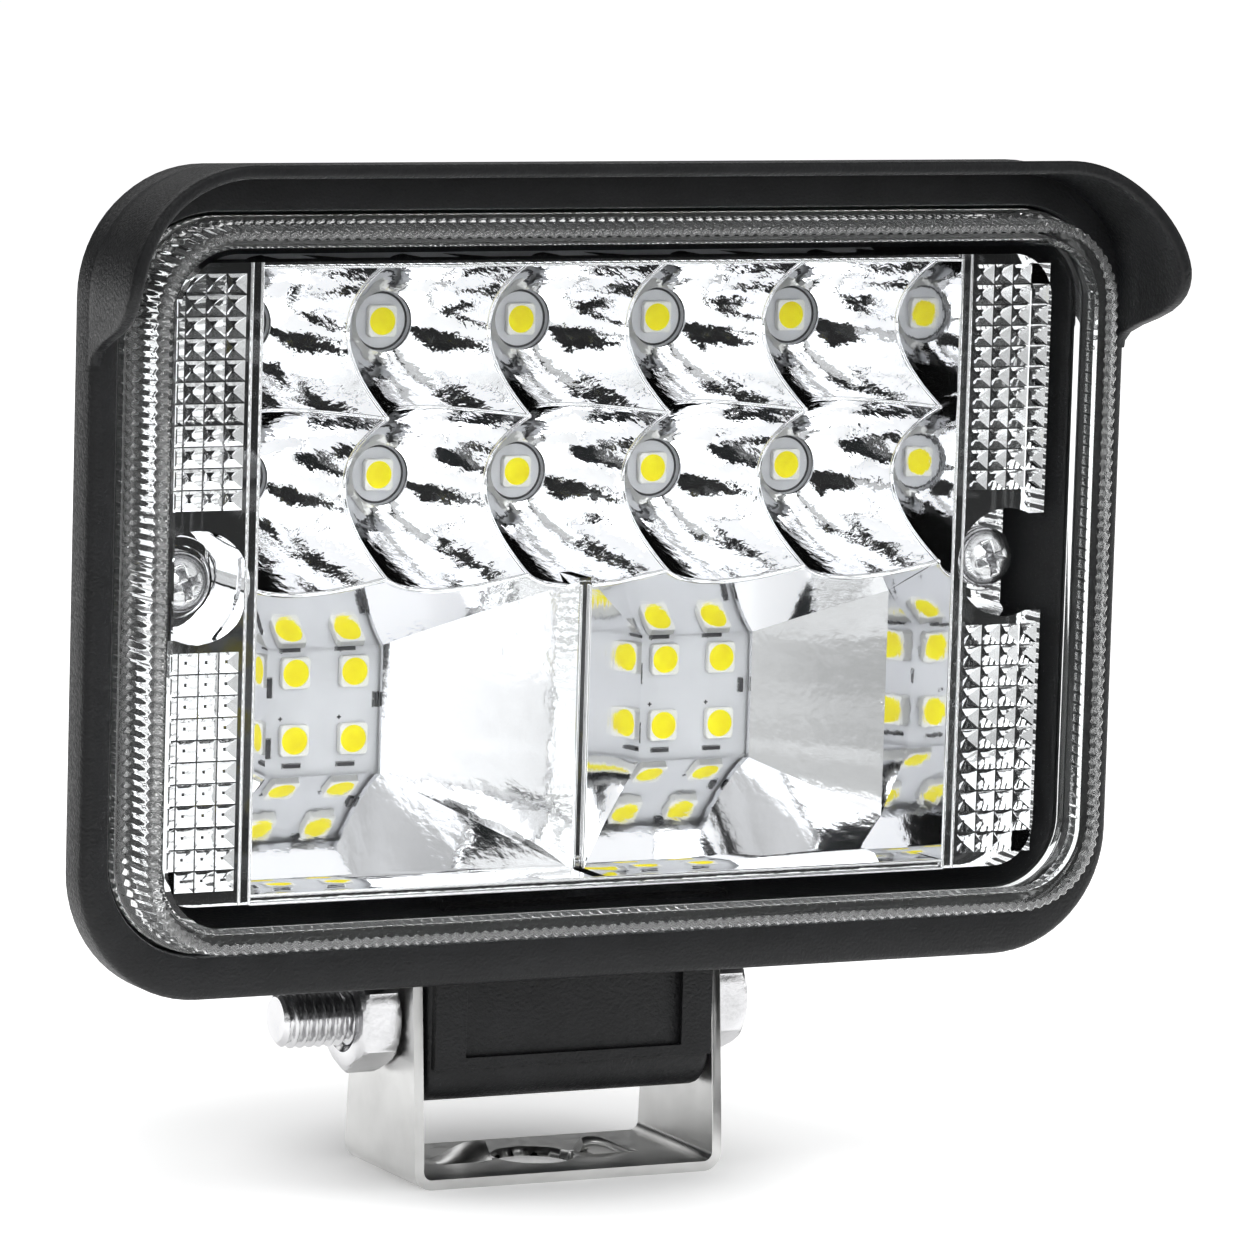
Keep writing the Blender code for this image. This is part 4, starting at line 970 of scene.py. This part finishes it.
def add_bolt():
    """Hexagon-head bolt with a cut thread on its free end."""
    low, high = box_mm("tilt_bolt")
    end, top = low[0], high[0]
    under = top - HEAD_HEIGHT
    profile = [(HEX - 0.25, top), (HEX + 0.1, top - 0.2), (HEX + 0.45, top - 0.5), (9, top - 0.8),
               (9, under + 0.5), (HEX + 0.45, under + 0.25), (HEX + 0.1, under)]
    shape = Shape()
    shape.tube(lathe(profile, (0, 0, AXIS_Z), 'X', 96, hexagon(HEX, lambda radius, along: True)))
    core, crest, pitch, layers = 2.42, 2.95, 1.0, 10
    stop = under - 12.0

    def threaded(radius, along, angle):
        """Radius of the thread, tapered at the bolt's end."""
        if along > stop + pitch / layers:
            return radius
        phase = (along / pitch - angle / (2 * pi)) % 1.0
        r = core + (radius - core) * min(max(1.35 - abs(phase - 0.5) * 4, 0), 1)
        return min(r, 2.2 + along - end) if along - end < 1.0 else r

    line = [end + i * pitch / layers for i in range(int((stop - end) * layers / pitch) + 1)]
    line += [stop + 0.3, under + 0.2]
    shape.tube(lathe([(crest, x) for x in line], (0, 0, AXIS_Z), 'X', 36, threaded))
    shape.piece("tilt_bolt_detail", [ZINC], 28, MOUNT, ["tilt_bolt"])


def add_nut():
    """Chamfered hexagon nut with a countersunk bore."""
    low, high = box_mm("lock_nut")
    end, face, bore = low[0], high[0], 3.05
    profile = [(bore, face), (HEX + 0.05, face), (HEX + 0.4, face - 0.2), (9, face - 0.5), (9, end + 0.75),
               (HEX + 0.45, end + 0.4), (HEX, end + 0.12), (HEX - 0.35, end), (3.6, end), (bore, end + 0.5)]
    shape = Shape()
    sides = hexagon(HEX, lambda radius, along: radius > 4.9)
    shape.closed_loop(lathe(profile, (0, 0, AXIS_Z), 'X', 96, sides))
    shape.piece("lock_nut_detail", [ZINC], 28, MOUNT, ["lock_nut"])


SHEET, BEND, BRACKET_HALF, BASE_DEEP, ARM_DEEP = 1.0, 1.9, 16.7, 8.3, 6.6
SLOT_X, SLOT_HALF, BASE_HOLE, ARM_HOLE = (5.9, 10.5), 1.7, 4.2, 3.25


def add_bracket():
    """Bent sheet with tapered arms, bevelled corners, round holes and the tongues' slots."""
    top, waist = box_mm("bracket")[1][2], 3.0
    outer, inner = [[(0.0, inset)] + arc((BRACKET_HALF - BEND, BEND), BEND - inset, -90, 0, 12)
                    + [(BRACKET_HALF - inset, BEND + (top - BEND) * i / 8) for i in range(1, 9)]
                    for inset in (0.0, SHEET)]
    section = [(-x, z) for x, z in reversed(outer)] + outer[1:]
    section += inner[::-1] + [(-x, z) for x, z in inner[1:]]
    depths = [BASE_DEEP + (ARM_DEEP - BASE_DEEP) * (max(z - waist, 0) / (top - waist)) for _, z in section]
    shape = Shape()
    shape.tube([[(x, side * y, z) for (x, z), y in zip(section, depths)] for side in (-1, 1)])
    bracket = shape.build("bracket_detail", [SATIN], 30)
    cutters = []

    def cut(rings):
        """Keep a solid to cut out of the sheet."""
        cutter = Shape()
        cutter.tube(rings)
        cutters.append(cutter.build("cutter", [SATIN], 30))

    cut(lathe([(BASE_HOLE, -1), (BASE_HOLE, 3)], (0, 0, 0), 'Z', 64))
    cut(lathe([(ARM_HOLE, -20), (ARM_HOLE, 20)], (0, 0, AXIS_Z), 'X', 48))
    away, reach = 13.0 / sqrt(2), 5 * sqrt(2)
    for side in (-1, 1):
        corners = [(side * away + reach * c, AXIS_Z + away + reach * s)
                   for c, s in ((1, 0), (0, 1), (-1, 0), (0, -1))]
        cut([[(x, y, z) for y, z in corners] for x in (-20, 20)])
        near, far = sorted((side * SLOT_X[0], side * SLOT_X[1]))
        cut([[(near, -SLOT_HALF, z), (far, -SLOT_HALF, z), (far, SLOT_HALF, z), (near, SLOT_HALF, z)]
             for z in (-1, 2)])
    apply_boolean(bracket, cutters)
    soften(bracket, 0.14, 2, 40)
    finish_piece(bracket, MOUNT, ["bracket"])


TONGUE_ROOT, TONGUE_LENGTH, TONGUE_HALF, TONGUE_TWIST = 10.9, 5.9, 1.7, 42


def add_tongues():
    """Two tongues of the base's sheet, each twisted up out of its slot."""
    across_up = [(-1, -0.35), (-0.9, -0.5), (0.9, -0.5), (1, -0.35)]
    across_up += [(-across, -up) for across, up in across_up]
    shape = Shape()
    for side in (-1, 1):
        rings = []
        for share in (i / 16 for i in range(17)):
            twist = radians(TONGUE_TWIST) * (3 * share ** 2 - 2 * share ** 3)
            wide = TONGUE_HALF * sqrt(1 - (share * 0.84) ** 4)
            middle = 0.5 + TONGUE_HALF * sin(twist) * (1 - 0.18 * share ** 3)
            rings.append([(side * (TONGUE_ROOT - TONGUE_LENGTH * share),
                           -side * (wide * across * cos(twist) - up * sin(twist)),
                           middle + wide * across * sin(twist) + up * cos(twist))
                          for across, up in across_up])
        shape.tube(rings)
    shape.piece("bracket_tabs", [SATIN], 55, MOUNT)


# ---- back fittings
def add_gland():
    """Cable gland: hexagon, ribbed cap and a rubber bush with its empty bore."""
    low, high = box_mm("cable_gland")
    centre = (low + high) / 2
    start = BACK_Y + 0.3
    point = (centre[0], 0, centre[2])
    shape = Shape()

    def ribbed(radius, along, angle):
        inside = start + 4.0 < along < high[1] - 1.4
        return radius + (0.14 * cos(24 * angle) if inside else 0)

    profile = [(2.9, low[1]), (3.7, low[1]), (3.7, start), (6.5, start), (7.0, start + 0.3), (9, start + 0.5),
               (9, start + 3.0), (7.0, start + 3.3), (6.4, start + 3.5), (2.9, start + 3.5)]
    nut = hexagon(6.24, lambda radius, along: along < start + 3.6 and radius > 5.5)
    shape.closed_loop(lathe(profile, point, 'Y', 96, nut))
    end = high[1]
    cap = [(2.9, start + 3.4), (5.9, start + 3.4), (6.05, start + 3.7), (6.0, start + 4.1), (5.7, end - 2.2),
           (5.3, end - 1.3), (4.8, end - 0.5), (4.3, end), (3.9, end), (3.8, end - 0.4), (2.9, end - 0.5)]
    shape.closed_loop(lathe(cap, point, 'Y', 192, ribbed))
    bush = [(3.0, low[1] + 0.5), (3.0, end - 0.5), (3.85, end - 0.45), (3.75, end - 0.15), (2.9, end - 0.1),
            (2.6, end - 0.35), (2.6, low[1] + 0.5)]
    shape.closed_loop(lathe(bush, point, 'Y', 48), 1)
    shape.piece("cable_gland_detail", [NYLON, RUBBER], 28, LAMP, ["cable_gland"])


def add_vent():
    """Breather plug with notches round its cap."""
    low, high = box_mm("breather_vent")
    centre = (low + high) / 2
    cap_start = BACK_Y + 0.3

    def notched(radius, along, angle):
        cut = along > cap_start - 0.01 and radius > 4.0
        return radius - (0.45 if cut and cos(8 * angle) > 0.72 else 0)

    foot, end = low[1], high[1]
    profile = [(1.9, foot), (2.3, foot + 0.3), (2.3, cap_start), (4.6, cap_start), (4.6, end - 0.8),
               (4.35, end - 0.3), (3.8, end), (2.2, end), (2.0, end - 0.35), (0.8, end - 0.35)]
    shape = Shape()
    shape.tube(lathe(profile, (centre[0], 0, centre[2]), 'Y', 96, notched))
    shape.piece("breather_vent_detail", [RUBBER], 30, LAMP, ["breather_vent"])


def add_bosses():
    """Cast posts that the reflector's screws bite into."""
    shape = Shape()
    for side in (-1, 1):
        profile = [(1.8, -6.3), (3.0, -6.3), (3.3, -6.0), (3.3, 3.0), (1.8, 3.0)]
        shape.closed_loop(lathe(profile, (side * SCREW[0], 0, LAMP_Z + SCREW[1]), 'Y', 32))
    shape.piece("housing_bosses", [SHADE], 30, LAMP)


def dress_nodes():
    """CAD nodes that stay visible get their finished materials."""
    finishes = {
        "lens_seal": RUBBER, "led_board": BOARD, "thermal_pad": PAD, "driver_chip": MARK,
        "rectifier_diode": MARK, "sense_resistor": MARK, "driver_inductor": MARK, "driver_capacitor": CAN,
        "positive_lead": RED, "negative_lead": BLACK,
    }
    for name, mat in finishes.items():
        data = frame["nodes"][name].data
        data.materials.clear()
        data.materials.append(mat)


# ---- room and light
FLOOR_REACH, WALL_REACH = 9000, 8800


def glowing(name, grey, roughness):
    """Material that also gives off white light; its strength is fed in later."""
    return new_material(name, (grey,) * 3, roughness, Emission_Color=(1, 1, 1, 1))


def add_surroundings():
    """Pale glowing floor with a painted shadow round the bracket, where its glow dims, and a plain backdrop
    seen only by the camera.
    """
    floor_mat_painted_shadow = glowing("floor", 0.9, 0.6)
    feed(floor_mat_painted_shadow, "Base Color", ramp(floor_mat_painted_shadow, noise(floor_mat_painted_shadow, 0.002), [(0.4, 0.88), (0.6, 0.92)]))
    nodes = floor_mat_painted_shadow.node_tree.nodes
    away = nodes.new("ShaderNodeVectorMath")
    away.operation = 'LENGTH'
    floor_mat_painted_shadow.node_tree.links.new(nodes.new("ShaderNodeTexCoord").outputs["Object"], away.inputs[0])
    # Painted shadow: the floor's glow falls off within a few centimetres of the lamp, standing for the shade
    # under the bracket.
    feed(floor_mat_painted_shadow, "Emission Strength",
         ramp(floor_mat_painted_shadow, away.outputs["Value"], [(0.014, 0.2), (0.03, 0.6), (0.065, 0.92), (0.4, 1.0)]))
    shape = Shape()
    shape.grid([[(x, y, -0.02) for x in (-FLOOR_REACH, FLOOR_REACH)] for y in (-FLOOR_REACH, FLOOR_REACH)])
    shape.build("floor", [floor_mat_painted_shadow])
    wall_mat = glowing("backdrop", 0.9, 0.9)
    feed(wall_mat, "Emission Strength", ramp(wall_mat, noise(wall_mat, 0.0005), [(0.4, 0.97), (0.6, 1.0)]))
    ring = arc((0, 0), WALL_REACH, 0, 360, 64)[:-1]
    wall = Shape()
    wall.grid([[(x, y, height) for x, y in ring] for height in (-10, 6000)], True)
    backdrop = wall.build("backdrop", [wall_mat])
    backdrop.visible_glossy = backdrop.visible_diffuse = backdrop.visible_shadow = False


def card(name, mat, height, corners):
    """Level card that only shows in reflections, as a studio uses to darken chrome."""
    shape = Shape()
    shape.cap([(x, y, height) for x, y in corners])
    obj = shape.build(name, [mat])
    obj.visible_camera = obj.visible_diffuse = obj.visible_shadow = False


def add_cards():
    """Black cards in front of the lamp and a mottled grey one on its -X side."""
    black = new_material("black_flag", (0.004, 0.004, 0.004), 0.9)
    card("flag_front", black, 2, [(-2500, -900), (2500, -900), (2500, -4000), (-2500, -4000)])
    card("flag_lens", black, 3, [(10, -140), (190, -140), (640, -960), (120, -960)])
    grey = glowing("grey_card", 0.3, 0.9)
    feed(grey, "Emission Strength", ramp(grey, noise(grey, 0.012, 5.0), [(0.35, 0.38), (0.65, 0.72)]))
    card("card_left", grey, 4, [(-1700, -1100), (-130, -1100), (-130, 150), (-1700, 150)])


def add_lights():
    """Faint cool world and soft boxes round the lamp."""
    world = bpy.data.worlds.new("studio")
    bpy.context.scene.world = world
    world.use_nodes = True
    background = world.node_tree.nodes["Background"]
    background.inputs["Color"].default_value = (0.9, 0.95, 1.0, 1)
    background.inputs["Strength"].default_value = 0.022

    def panel(name, place, aim, size, radiance, in_mirrors=True):
        """Soft box; radiance 1 shows as plain white in a mirror."""
        data = bpy.data.lights.new(name, 'AREA')
        data.shape = 'RECTANGLE'
        data.size, data.size_y = size
        data.energy = radiance * pi * size[0] * size[1]
        light = bpy.data.objects.new(name, data)
        light.location = place
        light.rotation_euler = (Vector(aim) - Vector(place)).to_track_quat('-Z', 'Y').to_euler()
        light.visible_glossy = in_mirrors
        bpy.context.scene.collection.objects.link(light)

    middle = (0, 0, 0.05)
    panel("key_left", (-0.85, -0.45, 0.55), middle, (0.35, 0.9), 1.6)
    panel("fill_right", (0.9, -0.55, 0.45), middle, (0.3, 0.8), 2.6)
    panel("top", (0.0, -0.35, 1.0), middle, (1.0, 0.5), 2.6)
    panel("front_high", (0.35, -1.3, 0.8), middle, (0.6, 0.25), 2.6)
    panel("front_soft", (-0.15, -1.3, 0.45), middle, (0.9, 0.7), 3.2, False)
    panel("back_top", (0.0, 0.8, 0.7), middle, (1.4, 0.4), 1.5)


# ---- build
add_housing()
add_visor()
add_lug()
add_fins()
add_bosses()
add_lens()
add_reflector()
for led_node in [n for n in frame["nodes"] if "_led_" in n]:
    add_led(led_node)
add_board_details()
for screw_node in ("reflector_screw_left", "reflector_screw_right"):
    add_screw(screw_node, 3.0, 2.2)
for number in range(1, 5):
    add_screw("board_screw_%d" % number, 2.4, 1.6)
add_bolt()
add_nut()
add_bracket()
add_tongues()
add_gland()
add_vent()
dress_nodes()
add_surroundings()
add_cards()
add_lights()
bpy.context.scene.view_settings.view_transform = 'Standard'
